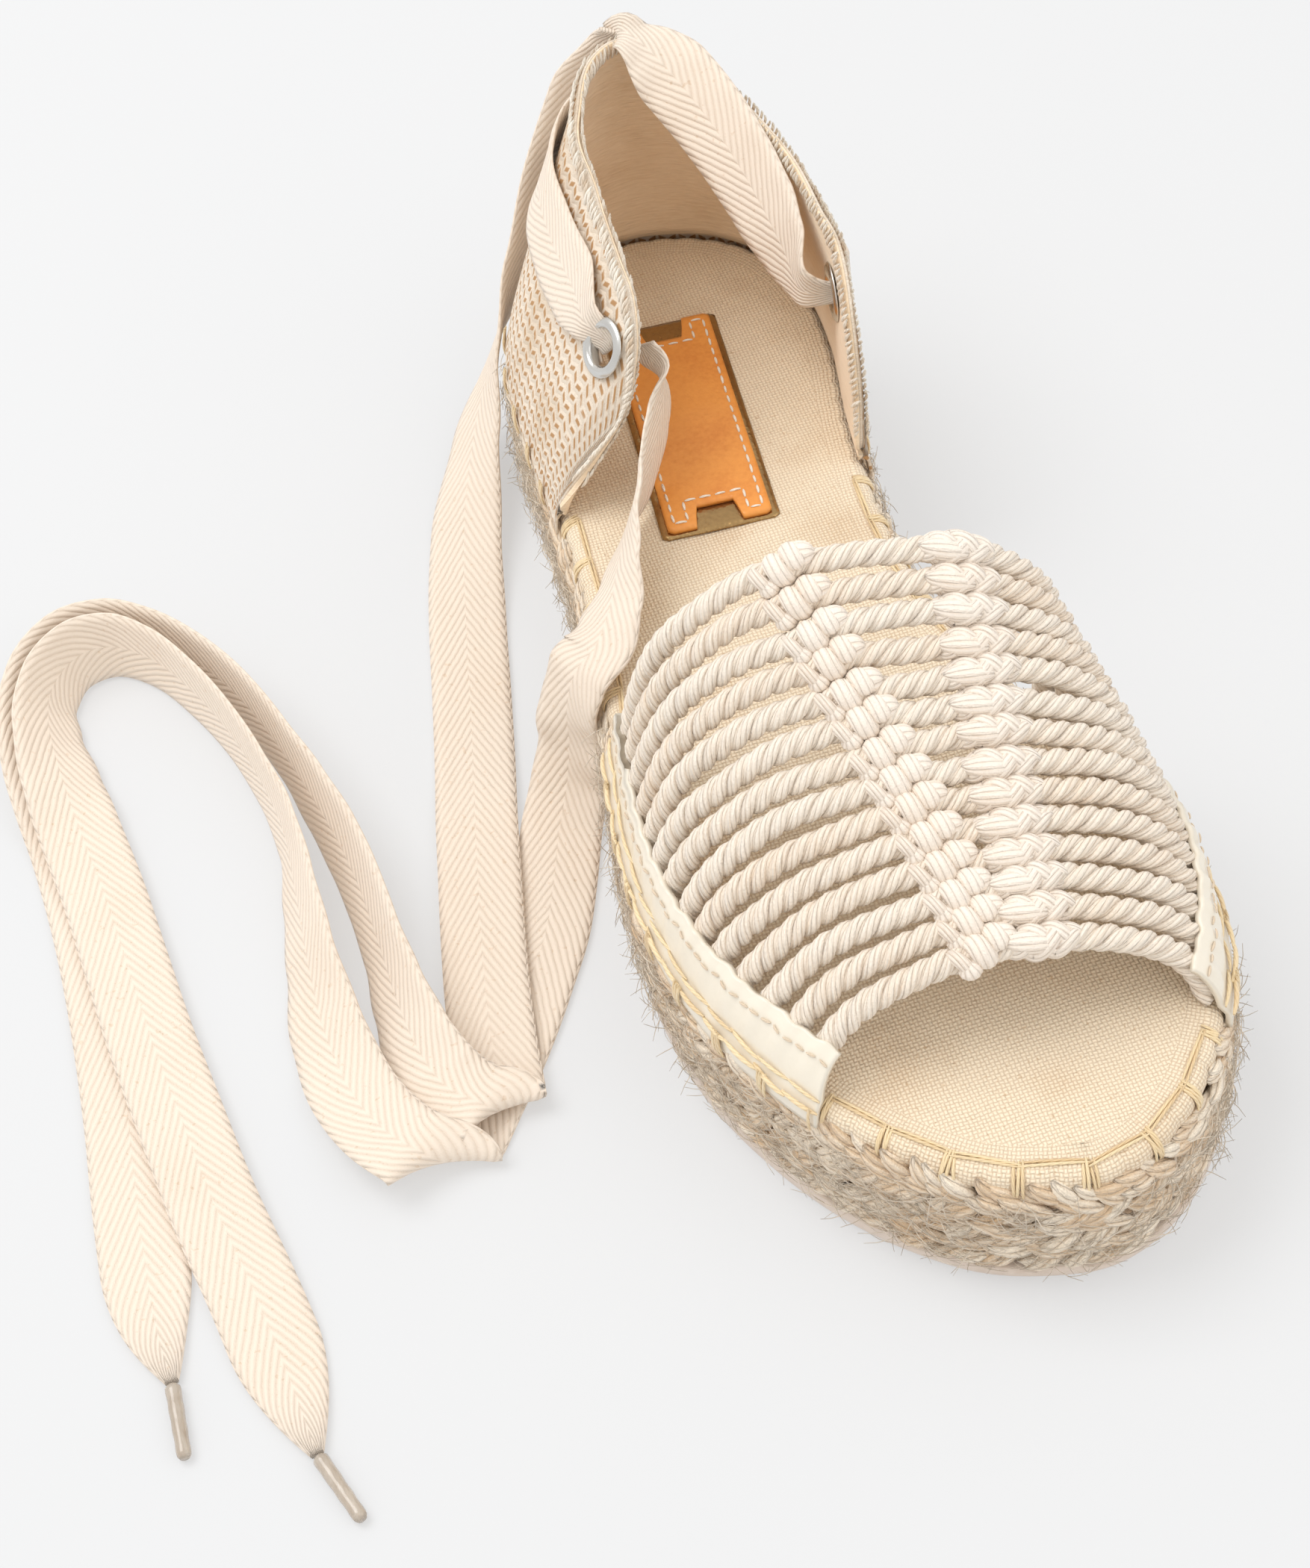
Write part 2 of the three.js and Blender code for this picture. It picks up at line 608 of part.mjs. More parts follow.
function makeBinding(side) {
  const { foot, back, front } = bindingEnds[side];
  const feetSpan = (archTable[archTable.length - 1][foot] - archTable[0][foot]) * insoleLength;
  const clear = ropeDiameter / 2 + layerGap + bindingWall / 2;
  const turned = (angle) => (side === "lateral" ? angle : Math.PI - angle);
  const outward = side === "lateral" ? -1 : 1;
  const edgeAngle = (at) => {
    let angle = 0;
    let run = 0;
    while (run < bindingHeight && angle < Math.PI / 2) {
      run += archPoint(at, turned(angle + probe)).distanceTo(archPoint(at, turned(angle)));
      angle += probe;
    }
    return angle;
  };
  const middle = Array.from({ length: bindingStations + 1 }, (_, i) => {
    const at = lerp(-back / feetSpan, 1 + front / feetSpan, i / bindingStations);
    const share = shareAt(side, threeRow(foot, at));
    const skirt = skirtProfile.map((row) => skirtSpot(share, row, bindingWall));
    const top = edgeAngle(clamp(at, 0, 1));
    const lift = bindingLift.map((part) => {
      const angle = turned(top * part);
      const spot = archPoint(at, angle);
      const rising = archPoint(at, angle + probe).sub(spot);
      const along = archPoint(at + probe, angle).sub(archPoint(at - probe, angle));
      const normal = new THREE.Vector3().crossVectors(along, rising).normalize();
      return spot.addScaledVector(normal, Math.sign(normal.x) === outward ? clear : -clear);
    });
    return [...skirt, ...lift];
  });
  return thickened(middle, outward, () => bindingWall / 2);
}

// Label on the insole: a foil backing and a leather patch with a notch at each end
const labelEndMargin = 0.6;
const labelNotchTaper = 0.8;

function makeLabel(margin, bottom, thickness, notched) {
  const halfWide = labelWidth / 2 - margin;
  const halfLong = labelLength / 2 - margin * labelEndMargin;
  const notch = labelNotchWidth / 2;
  const inner = notch * labelNotchTaper;
  const deep = halfLong - labelNotchDepth;
  const shape = new THREE.Shape();
  const notchLine = [[-notch, halfLong], [-inner, deep], [inner, deep], [notch, halfLong]];
  const endLine = [[-halfWide, halfLong], ...(notched ? notchLine : []), [halfWide, halfLong]];
  const end = (sign) => endLine.map(([x, y]) => [sign * x, sign * y]);
  [...end(1), ...end(-1)].forEach(([x, y], i) => (i === 0 ? shape.moveTo(x, y) : shape.lineTo(x, y)));
  shape.closePath();
  const geometry = new THREE.ExtrudeGeometry(shape, { depth: thickness, bevelEnabled: false });
  geometry.rotateZ(THREE.MathUtils.degToRad(-labelTurn));
  return geometry.translate(labelPlace.across * ballWidth, halfLength - labelPlace.along * insoleLength, bottom);
}

// Tape: a flat band swept along chosen points, each with the tilt of its section
const tapeSection = [
  [-0.5, -0.22], [-0.47, -0.5], [0.47, -0.5], [0.5, -0.22],
  [0.5, 0.22], [0.47, 0.5], [-0.47, 0.5], [-0.5, 0.22],
];
const tipShare = { wide: 1.7, thick: 1.5 };

function tapeSolid(route, stepLength, taper) {
  const spots = route.map(([x, y, z]) => new THREE.Vector3(x, y, z));
  const curve = new THREE.CatmullRomCurve3(spots, false, "centripetal");
  const length = curve.getLength();
  const steps = Math.round(length / stepLength);
  const rings = Array.from({ length: steps + 1 }, (_, i) => {
    const at = i / steps;
    const t = curve.getUtoTmapping(at);
    const spot = curve.getPoint(t);
    const run = curve.getTangent(t);
    const place = t * (route.length - 1);
    const row = Math.min(Math.floor(place), route.length - 2);
    const degrees = lerp(route[row][3], route[row + 1][3], smooth(place - row));
    const tilt = THREE.MathUtils.degToRad(degrees);
    const right = new THREE.Vector3(run.y, -run.x, 0).normalize();
    const upward = new THREE.Vector3().crossVectors(right, run).normalize();
    const across = right.multiplyScalar(Math.cos(tilt)).addScaledVector(upward, Math.sin(tilt));
    const through = new THREE.Vector3().crossVectors(run, across).normalize();
    const left = taper ? clamp(((1 - at) * length) / tieTaper, 0, 1) : 1;
    const wide = lerp(agletRadius * tipShare.wide, tieWidth, Math.sqrt(smooth(left)));
    const thick = lerp(agletRadius * tipShare.thick, tieThickness, smooth(left));
    return tapeSection.map(([w, h]) => spot.clone()
      .addScaledVector(across, w * wide)
      .addScaledVector(through, h * thick));
  });
  return tubeFromRings(rings);
}

function tubeFromRings(rings) {
  const count = rings[0].length;
  const faces = sideFaces(rings.length, count);
  const last = (rings.length - 1) * count;
  for (let i = 1; i < count - 1; i += 1) {
    faces.push([0, i + 1, i], [last, last + i, last + i + 1]);
  }
  return finish(rings.flat(), faces);
}

// The band that runs from one eyelet round the outside of the heel to the other
const wrapSag = 0.06;
const wrapSlack = 0.6;
const wrapGather = { width: 0.45, share: 0.14 };

function makeTieWrap() {
  const [lateral, medial] = eyeletPlaces;
  const rings = Array.from({ length: wrapStations + 1 }, (_, i) => {
    const share = i / wrapStations;
    const around = lerp(lateral.around, medial.around, share);
    const up = lerp(lateral.up, medial.up, share) - wrapSag * Math.sin(Math.PI * share);
    const spread = smooth(clamp(Math.min(share, 1 - share) / wrapGather.share, 0, 1));
    const clear = lerp(eyeletSheet + layerGap + wrapSlack, wrapSlack, spread);
    const out = counterWall / 2 + layerGap + tieThickness / 2 + clear;
    const normal = counterNormal(around, up);
    const spot = counterFace(around, up, out);
    const ahead = counterFace(around + probe, up, out).sub(counterFace(around - probe, up, out)).normalize();
    const across = new THREE.Vector3().crossVectors(normal, ahead).normalize();
    const wide = tieWidth * lerp(wrapGather.width, 1, spread);
    return tapeSection.map(([w, h]) => spot.clone()
      .addScaledVector(across, w * wide)
      .addScaledVector(normal, h * tieThickness));
  });
  return tubeFromRings(rings);
}

const agletTip = { start: 0.94, radius: 0.85 };

function makeAglet(route, aim) {
  const [x, y] = route[route.length - 1];
  const ahead = new THREE.Vector3(aim[0], aim[1], 0).normalize();
  const profile = [
    [0, 0], [agletRadius, 0], [agletRadius, agletLength * agletTip.start],
    [agletRadius * agletTip.radius, agletLength], [0, agletLength],
  ];
  const points = profile.map(([r, up]) => new THREE.Vector2(r, up));
  const geometry = new THREE.LatheGeometry(points, agletSegments);
  const turn = new THREE.Quaternion().setFromUnitVectors(new THREE.Vector3(0, 1, 0), ahead);
  const start = ahead.multiplyScalar(agletGap);
  return geometry.applyQuaternion(turn).translate(x + start.x, y + start.y, agletRadius + floorGap);
}

// Looks
const finishes = {
  rubber: new THREE.MeshStandardMaterial({ color: 0xd9b8a4, roughness: 0.5 }),
  jute: new THREE.MeshStandardMaterial({ color: 0xc4a98a, roughness: 0.95 }),
  canvas: new THREE.MeshStandardMaterial({ color: 0xe9d6b4, roughness: 0.9 }),
  rope: new THREE.MeshStandardMaterial({ color: 0xf0e4d4, roughness: 0.92 }),
  binding: new THREE.MeshStandardMaterial({ color: 0xece6da, roughness: 0.55 }),
  knit: new THREE.MeshStandardMaterial({ color: 0xdccab2, roughness: 0.95 }),
  steel: new THREE.MeshStandardMaterial({ color: 0xc9c9c8, roughness: 0.25, metalness: 1 }),
  foil: new THREE.MeshStandardMaterial({ color: 0x9a7a45, roughness: 0.3, metalness: 0.8 }),
  leather: new THREE.MeshStandardMaterial({ color: 0xd98533, roughness: 0.5 }),
  twill: new THREE.MeshStandardMaterial({ color: 0xf1e3cf, roughness: 0.92 }),
  aglet: new THREE.MeshStandardMaterial({ color: 0xd8cfc2, roughness: 0.25 }),
};

// Assembly
const sandal = new THREE.Group();
function add(name, geometry, material) {
  const mesh = new THREE.Mesh(geometry, material);
  mesh.name = name;
  sandal.add(mesh);
}

const courseNames = ["jute_course_low", "jute_course_middle", "jute_course_high"];
const backingBottom = insoleTop + layerGap / 2;
const leatherBottom = backingBottom + labelBacking + layerGap / 2;

add("outsole", makeOutsole(), finishes.rubber);
for (let i = 0; i < juteCourses; i += 1) add(courseNames[i], makeJuteCourse(i), finishes.jute);
add("insole", makeInsole(), finishes.canvas);
add("label_backing", makeLabel(0, backingBottom, labelBacking, false), finishes.foil);
add("label_leather", makeLabel(labelMargin, leatherBottom, labelLeather, true), finishes.leather);
add("vamp", makeVamp(), finishes.rope);
add("vamp_binding_lateral", makeBinding("lateral"), finishes.binding);
add("vamp_binding_medial", makeBinding("medial"), finishes.binding);
add("heel_counter", makeCounter(), finishes.knit);
eyeletPlaces.forEach((place) => add(place.name, makeEyelet(place), finishes.steel));
add("tie_wrap", makeTieWrap(), finishes.twill);
add("tie_over", tapeSolid(tieOverRoute, tapeStep / 2, false), finishes.twill);
add("tie_end_a", tapeSolid(tieEndA, tapeStep, true), finishes.twill);
add("tie_end_b", tapeSolid(tieEndB, tapeStep, true), finishes.twill);
add("aglet_a", makeAglet(tieEndA, agletAims.a), finishes.aglet);
add("aglet_b", makeAglet(tieEndB, agletAims.b), finishes.aglet);

export default sandal;
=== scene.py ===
"""Right-foot rope sandal with a braided jute sole, knotted rope vamp and a long cotton tie."""

import logging
import math
from dataclasses import dataclass, field
from enum import Enum

import bmesh
import bpy
import numpy as np
from bpy.types import Material, Node, NodeSocket, NodeTree, Object
from mathutils import Matrix

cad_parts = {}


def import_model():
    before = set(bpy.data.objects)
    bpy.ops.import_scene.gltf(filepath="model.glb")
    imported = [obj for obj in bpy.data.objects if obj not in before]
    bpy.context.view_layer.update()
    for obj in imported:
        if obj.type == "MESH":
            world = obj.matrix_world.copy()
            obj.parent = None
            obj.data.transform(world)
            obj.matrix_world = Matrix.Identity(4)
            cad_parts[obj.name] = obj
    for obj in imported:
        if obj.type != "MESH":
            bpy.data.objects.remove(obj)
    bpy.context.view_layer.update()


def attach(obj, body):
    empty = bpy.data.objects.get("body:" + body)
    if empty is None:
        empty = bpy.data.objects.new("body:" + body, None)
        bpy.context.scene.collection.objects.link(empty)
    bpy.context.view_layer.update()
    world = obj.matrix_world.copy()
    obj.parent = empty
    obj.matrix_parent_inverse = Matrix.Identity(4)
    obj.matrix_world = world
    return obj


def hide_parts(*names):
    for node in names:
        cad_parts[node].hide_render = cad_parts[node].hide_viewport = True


LOG = logging.getLogger("rope_sandal")
MM = 0.001
ROOT = "root"
SEED = 11
UP = np.array([0.0, 0.0, 1.0])
Array = np.ndarray


# Numbers and curves, all lengths in millimetres until a mesh is made
def linear(red: float, green: float, blue: float) -> tuple[float, float, float, float]:
    """Turn a screen colour of 0 to 255 into a linear one with full alpha.

    Args:
        red: Red of the screen colour.
        green: Green of the screen colour.
        blue: Blue of the screen colour.

    Returns:
        Linear red, green, blue and alpha.
    """
    parts = [channel / 255.0 for channel in (red, green, blue)]
    low = 0.04045
    return tuple(c / 12.92 if c <= low else ((c + 0.055) / 1.055) ** 2.4 for c in parts) + (1.0,)


def unit(vectors: Array) -> Array:
    """Return the vectors at length one."""
    return vectors / np.maximum(np.linalg.norm(vectors, axis=-1, keepdims=True), 1e-9)


def smooth(share: Array) -> Array:
    """Ease a share of 0 to 1 at both of its ends."""
    clipped = np.clip(share, 0.0, 1.0)
    return clipped * clipped * (3.0 - 2.0 * clipped)


def blend(start: Array, end: Array, share: Array) -> Array:
    """Mix two values by a share."""
    return start + (end - start) * share


def hermite(share: Array, start: Array, leave: Array, end: Array,
            reach: Array) -> Array:
    """Join two values by a cubic.

    Args:
        share: Share of the way from the start to the end.
        start: Value at the start.
        leave: Slope with which it leaves the start.
        end: Value at the end.
        reach: Slope with which it reaches the end.

    Returns:
        The values at those shares.
    """
    return ((2 * share**3 - 3 * share**2 + 1) * start + (share**3 - 2 * share**2 + share) * leave
            + (3 * share**2 - 2 * share**3) * end + (share**3 - share**2) * reach)


def centripetal(points: Array, closed: bool, per_span: int) -> Array:
    """Lay a centripetal Catmull-Rom curve through points.

    Args:
        points: Points that the curve passes through, one a row.
        closed: Whether the curve returns to its start.
        per_span: Points made between two given ones.

    Returns:
        The curve's points, one a row.
    """
    count = len(points)
    if closed:
        numbers = np.arange(count)
        before, here, after, beyond = (points[(numbers + step) % count] for step in (-1, 0, 1, 2))
    else:
        padded = np.vstack([2 * points[0] - points[1], points, 2 * points[-1] - points[-2]])
        before, here, after, beyond = (padded[step:step + count - 1] for step in range(4))
    gaps = [np.sqrt(np.linalg.norm(b - a, axis=1, keepdims=True))
            for a, b in ((before, here), (here, after), (after, beyond))]
    leave = (here - before) / gaps[0] - (after - before) / (gaps[0] + gaps[1]) + (after - here) / gaps[1]
    reach = (after - here) / gaps[1] - (beyond - here) / (gaps[1] + gaps[2]) + (beyond - after) / gaps[2]
    t = (np.arange(per_span) / per_span)[None, :, None]
    slopes = [(slope * gaps[1])[:, None] for slope in (leave, reach)]
    spans = hermite(t, here[:, None], slopes[0], after[:, None], slopes[1])
    curve = spans.reshape(-1, points.shape[1])
    return curve if closed else np.vstack([curve, points[-1]])


def run_lengths(path: Array) -> Array:
    """Return the length run along a path at each of its points."""
    steps = np.linalg.norm(np.diff(path, axis=0), axis=1)
    return np.concatenate([[0.0], np.cumsum(steps)])


def at_lengths(reach: Array, lengths: Array, rows: Array) -> Array:
    """Read rows of points or directions at lengths that lie between their own."""
    return np.stack([np.interp(reach, lengths, column) for column in rows.T], axis=-1)


def turned(first: Array, second: Array, turn: Array) -> Array:
    """Turn the first direction towards the second by angles."""
    return first * np.cos(turn)[:, None] + second * np.sin(turn)[:, None]


def read_columns(rows: Array, at: Array, column: int) -> Array:
    """Read a column of a table between its rows, smoothly, by the first column.

    Args:
        rows: The table, with its key in the first column.
        at: Keys to read at.
        column: Number of the column read.

    Returns:
        The values at those keys.
    """
    keys = rows[:, 0]
    values = rows[:, column]
    last = len(keys) - 1
    clipped = np.clip(at, keys[0], keys[-1])
    row = np.clip(np.searchsorted(keys, clipped, side="left") - 1, 0, last - 1)
    before = np.maximum(row - 1, 0)
    beyond = np.minimum(row + 2, last)
    span = keys[row + 1] - keys[row]
    share = (clipped - keys[row]) / span
    leave = (values[row + 1] - values[before]) / (keys[row + 1] - keys[before]) * span
    reach = (values[beyond] - values[row]) / (keys[beyond] - keys[row]) * span
    return hermite(share, values[row], leave, values[row + 1], reach)


class Side(Enum):
    """The two sides of the foot."""

    LATERAL = "lateral"
    MEDIAL = "medial"


# Flat outline of the insole: share of length from the heel, then shares of ball width
OUTLINE = np.array([
    [0.0, 0.005, 0.005], [0.008, -0.109, 0.122], [0.029, -0.211, 0.225], [0.065, -0.297, 0.305],
    [0.122, -0.342, 0.348], [0.196, -0.355, 0.342], [0.286, -0.363, 0.295], [0.376, -0.381, 0.265],
    [0.469, -0.412, 0.269], [0.563, -0.463, 0.327], [0.645, -0.497, 0.409], [0.714, -0.5, 0.47],
    [0.784, -0.468, 0.5], [0.845, -0.403, 0.487], [0.898, -0.321, 0.441], [0.943, -0.218, 0.362],
    [0.976, -0.109, 0.269], [0.994, 0.01, 0.179], [1.0, 0.097, 0.097],
])
# Vamp arches from the back edge to the toe edge, one column each
ARCH = {
    "foot_lateral": (0.56, 0.719, 0.878),
    "foot_medial": (0.628, 0.768, 0.907),
    "rise": (1.0, 0.634, 0.368),
    "lean": (-0.0155, 0.0038, 0.0231),
    "shift": (0.088, 0.05, 0.012),
    "round": (0.574, 0.856, 1.137),
    "knot_lateral": (0.393, 0.457, 0.475),
    "knot_medial": (0.616, 0.564, 0.547),
}
# Collar of the heel counter: share round the counter, rise, lean and back
COLLAR = np.array([
    [-1.0, 0.05, 0.0, 0.0], [-0.955, 0.36, 0.165, -0.035], [-0.91, 0.6, 0.22, -0.06],
    [-0.85, 0.76, 0.245, -0.05], [-0.76, 0.81, 0.25, -0.03], [-0.62, 0.82, 0.255, -0.025],
    [-0.45, 0.85, 0.24, -0.035], [-0.3, 0.9, 0.19, -0.045], [-0.12, 0.97, 0.105, -0.03],
    [0.0, 1.0, 0.058, -0.022], [0.12, 0.97, 0.0, -0.03], [0.3, 0.86, -0.035, -0.045],
    [0.5, 0.78, -0.038, -0.035], [0.66, 0.76, -0.02, -0.035], [0.76, 0.73, 0.0, -0.035],
    [0.86, 0.58, 0.0, -0.055], [0.94, 0.32, 0.0, -0.05], [1.0, 0.05, 0.0, 0.0],
])


@dataclass
class Last:
    """The form that the whole sandal is built on, in millimetres."""

    insole_length: float = 245.0
    ball_width: float = 87.5
    insole_top: float = 31.0
    insole_thickness: float = 5.4
    outsole_thickness: float = 4.6
    toe_spring: float = 2.2
    heel_lift: float = 0.8
    toe_start: float = 0.62
    toe_run: float = 0.41
    heel_start: float = 0.82
    heel_run: float = 0.21
    layer_gap: float = 0.3
    rim_reach: float = 2.0
    sole_reach: float = 3.6
    instep_rise: float = 49.5
    heel_rise: float = 51.0
    rope_inset: float = 1.25
    arch_squareness: float = 0.874
    wall_bow: float = 1.3
    counter_lateral: float = 0.296
    counter_inset: float = 0.3
    counter_lift: float = 0.9
    vamp_lift: float = 0.5
    counter_medial: float = 0.329
    skirt_drop: float = 4.6
    outline_fineness: int = 80
    heading_step: float = 2.0
    track: Array = field(init=False)
    shares: Array = field(init=False)
    girth: float = field(init=False)

    def __post_init__(self) -> None:
        """Lay the outline's curve and the tables that find places on it."""
        half = self.insole_length / 2
        down = [(row[1] * self.ball_width, half - row[0] * self.insole_length) for row in OUTLINE]
        back = [(row[2] * self.ball_width, half - row[0] * self.insole_length) for row in OUTLINE[-2:0:-1]]
        curve = centripetal(np.array(down + back), True, self.outline_fineness)
        self.track = np.vstack([curve, curve[:1]])
        lengths = run_lengths(self.track)
        self.girth = float(lengths[-1])
        self.shares = lengths / self.girth
        toe = int(np.argmin(self.track[:, 1]))
        self.lateral_y = np.minimum.accumulate(self.track[:toe + 1, 1])[::-1]
        self.lateral_share = self.shares[:toe + 1][::-1]
        self.medial_y = np.maximum.accumulate(self.track[toe:, 1])
        self.medial_share = self.shares[toe:]

    def level(self, share: Array) -> Array:
        """Return the outline's flat places at shares of its girth, from the heel past the lateral side."""
        wrapped = np.mod(share, 1.0)
        return np.stack([np.interp(wrapped, self.shares, self.track[:, axis]) for axis in (0, 1)], axis=-1)

    def heading(self, share: Array) -> Array:
        """Return the outline's flat direction of travel at shares of its girth."""
        step = self.heading_step / self.girth
        return unit(self.level(share + step) - self.level(share - step))

    def spot(self, share: Array, offset: Array, height: Array) -> Array:
        """Return places beside the outline.

        Args:
            share: Shares of the outline's girth.
            offset: Distance out from the outline.
            height: Height above the floor.

        Returns:
            Points in millimetres.
        """
        share, offset, height = np.broadcast_arrays(np.asarray(share, float), offset, height)
        run = self.heading(share)
        flat = self.level(share)
        x = flat[..., 0] + run[..., 1] * offset
        y = flat[..., 1] - run[..., 0] * offset
        return np.stack([x, y, height], axis=-1)

    def outward(self, share: Array) -> Array:
        """Return the level direction that points out of the outline."""
        run = self.heading(share)
        return np.stack([run[..., 1], -run[..., 0], np.zeros(run.shape[:-1])], axis=-1)

    def along(self, share: Array) -> Array:
        """Return the level direction of travel with a height of nought."""
        run = self.heading(share)
        return np.stack([run[..., 0], run[..., 1], np.zeros(run.shape[:-1])], axis=-1)

    def share_at(self, side: Side, along: Array) -> Array:
        """Find the share of the girth on a side at a share of the insole's length from the heel."""
        y = self.insole_length * (0.5 - np.asarray(along, float))
        if side is Side.LATERAL:
            return np.interp(y, self.lateral_y, self.lateral_share)
        return np.interp(y, self.medial_y, self.medial_share)

    def sole_lift(self, y: Array) -> Array:
        """Return how far the underside is off the floor at a place along the foot."""
        half = self.insole_length / 2
        toe = np.clip((-y - half * self.toe_start) / (half * self.toe_run), 0.0, 1.0)
        heel = np.clip((y - half * self.heel_start) / (half * self.heel_run), 0.0, 1.0)
        return self.toe_spring * toe**2 + self.heel_lift * heel**2

    def three_row(self, column: str, at: Array) -> Array:
        """Read a column of the arch table at a share of the way from the back edge to the toe edge."""
        first, middle, last = ARCH[column]
        return first * (1 - at) * (1 - 2 * at) + middle * 4 * at * (1 - at) + last * at * (2 * at - 1)

    def arch(self, at: Array, angle: Array) -> Array:
        """Return places on the vamp's middle surface.

        Args:
            at: Share of the way from the vamp's back edge to its toe edge.
            angle: Angle round the arch, from the lateral foot to the medial one.

        Returns:
            Points in millimetres.
        """
        at, angle = np.broadcast_arrays(np.asarray(at, float), angle)
        feet = [self.spot(self.share_at(side, self.three_row(f"foot_{side.value}", at)),
                          -self.rope_inset, 0.0) for side in Side]
        turn = np.cos(angle)
        across = (1 - np.sign(turn) * np.abs(turn) ** self.arch_squareness) / 2
        rise = np.maximum(np.sin(angle), 0.0) ** self.three_row("round", at)
        ground = blend(feet[0], feet[1], across[..., None])
        lift = self.vamp_lift + self.three_row("rise", at) * self.instep_rise * rise
        return ground + np.stack([
            self.three_row("shift", at) * self.ball_width * rise,
            self.three_row("lean", at) * self.insole_length * rise,
            self.insole_top + lift,
        ], axis=-1)

    def arch_out(self, at: Array, angle: Array) -> Array:
        """Return the directions that point out of the vamp."""
        step = 0.01
        forward = self.arch(at + step, angle) - self.arch(at - step, angle)
        rising = (self.arch(at, np.clip(angle + step, 0, math.pi))
                  - self.arch(at, np.clip(angle - step, 0, math.pi)))
        normal = unit(np.cross(rising, forward))
        centre = np.array([0.0, 0.0, self.insole_top])
        outer = self.arch(at, angle) - centre
        outer[..., 1] = 0.0
        return normal * np.sign(np.sum(normal * outer, axis=-1, keepdims=True))

    def counter_share(self, around: Array) -> Array:
        """Turn a share of the counter's arc into a share of the outline's girth."""
        lateral = self.share_at(Side.LATERAL, self.counter_lateral)
        medial = self.share_at(Side.MEDIAL, self.counter_medial) - 1.0
        return np.where(around < 0, -around * lateral, around * medial)

    def counter(self, around: Array, up: Array) -> Array:
        """Return places on the heel counter's middle surface by shares of its arc and its height."""
        around, up = np.broadcast_arrays(np.asarray(around, float), up)
        foot = self.spot(self.counter_share(around), self.rim_reach - self.counter_inset,
                         self.insole_top + self.counter_lift)
        bow = np.clip(up, 0.0, None) ** self.wall_bow
        rise = read_columns(COLLAR, around, 1) * self.heel_rise
        lean = read_columns(COLLAR, around, 2) * self.ball_width
        back = read_columns(COLLAR, around, 3) * self.ball_width
        return foot + np.stack([lean * bow, back * bow, rise * up], axis=-1)

    def counter_out(self, around: Array, up: Array) -> Array:
        """Return the directions that point out of the heel counter."""
        step = 0.02
        run = self.counter(around + step, up) - self.counter(around - step, up)
        rising = (self.counter(around, np.minimum(up + step, 1.0))
                  - self.counter(around, np.maximum(up - step, 0.0)))
        return unit(np.cross(rising, run))

    def skirt(self, share: Array, thickness: float) -> list[Array]:
        """Work out the turned-down foot of a wall that is stitched to the insole's rim.

        Args:
            share: Outline share of each station.
            thickness: The skirt's own thickness.

        Returns:
            Middle points of its stations, from the lower edge up.
        """
        reach = self.rim_reach + self.layer_gap + thickness / 2
        return [self.spot(share, reach * out, self.insole_top + self.layer_gap - down * self.skirt_drop)
                for down, out in ((1.0, 1.0), (0.75, 1.02), (0.5, 1.0), (0.3, 0.97), (0.12, 0.9))]


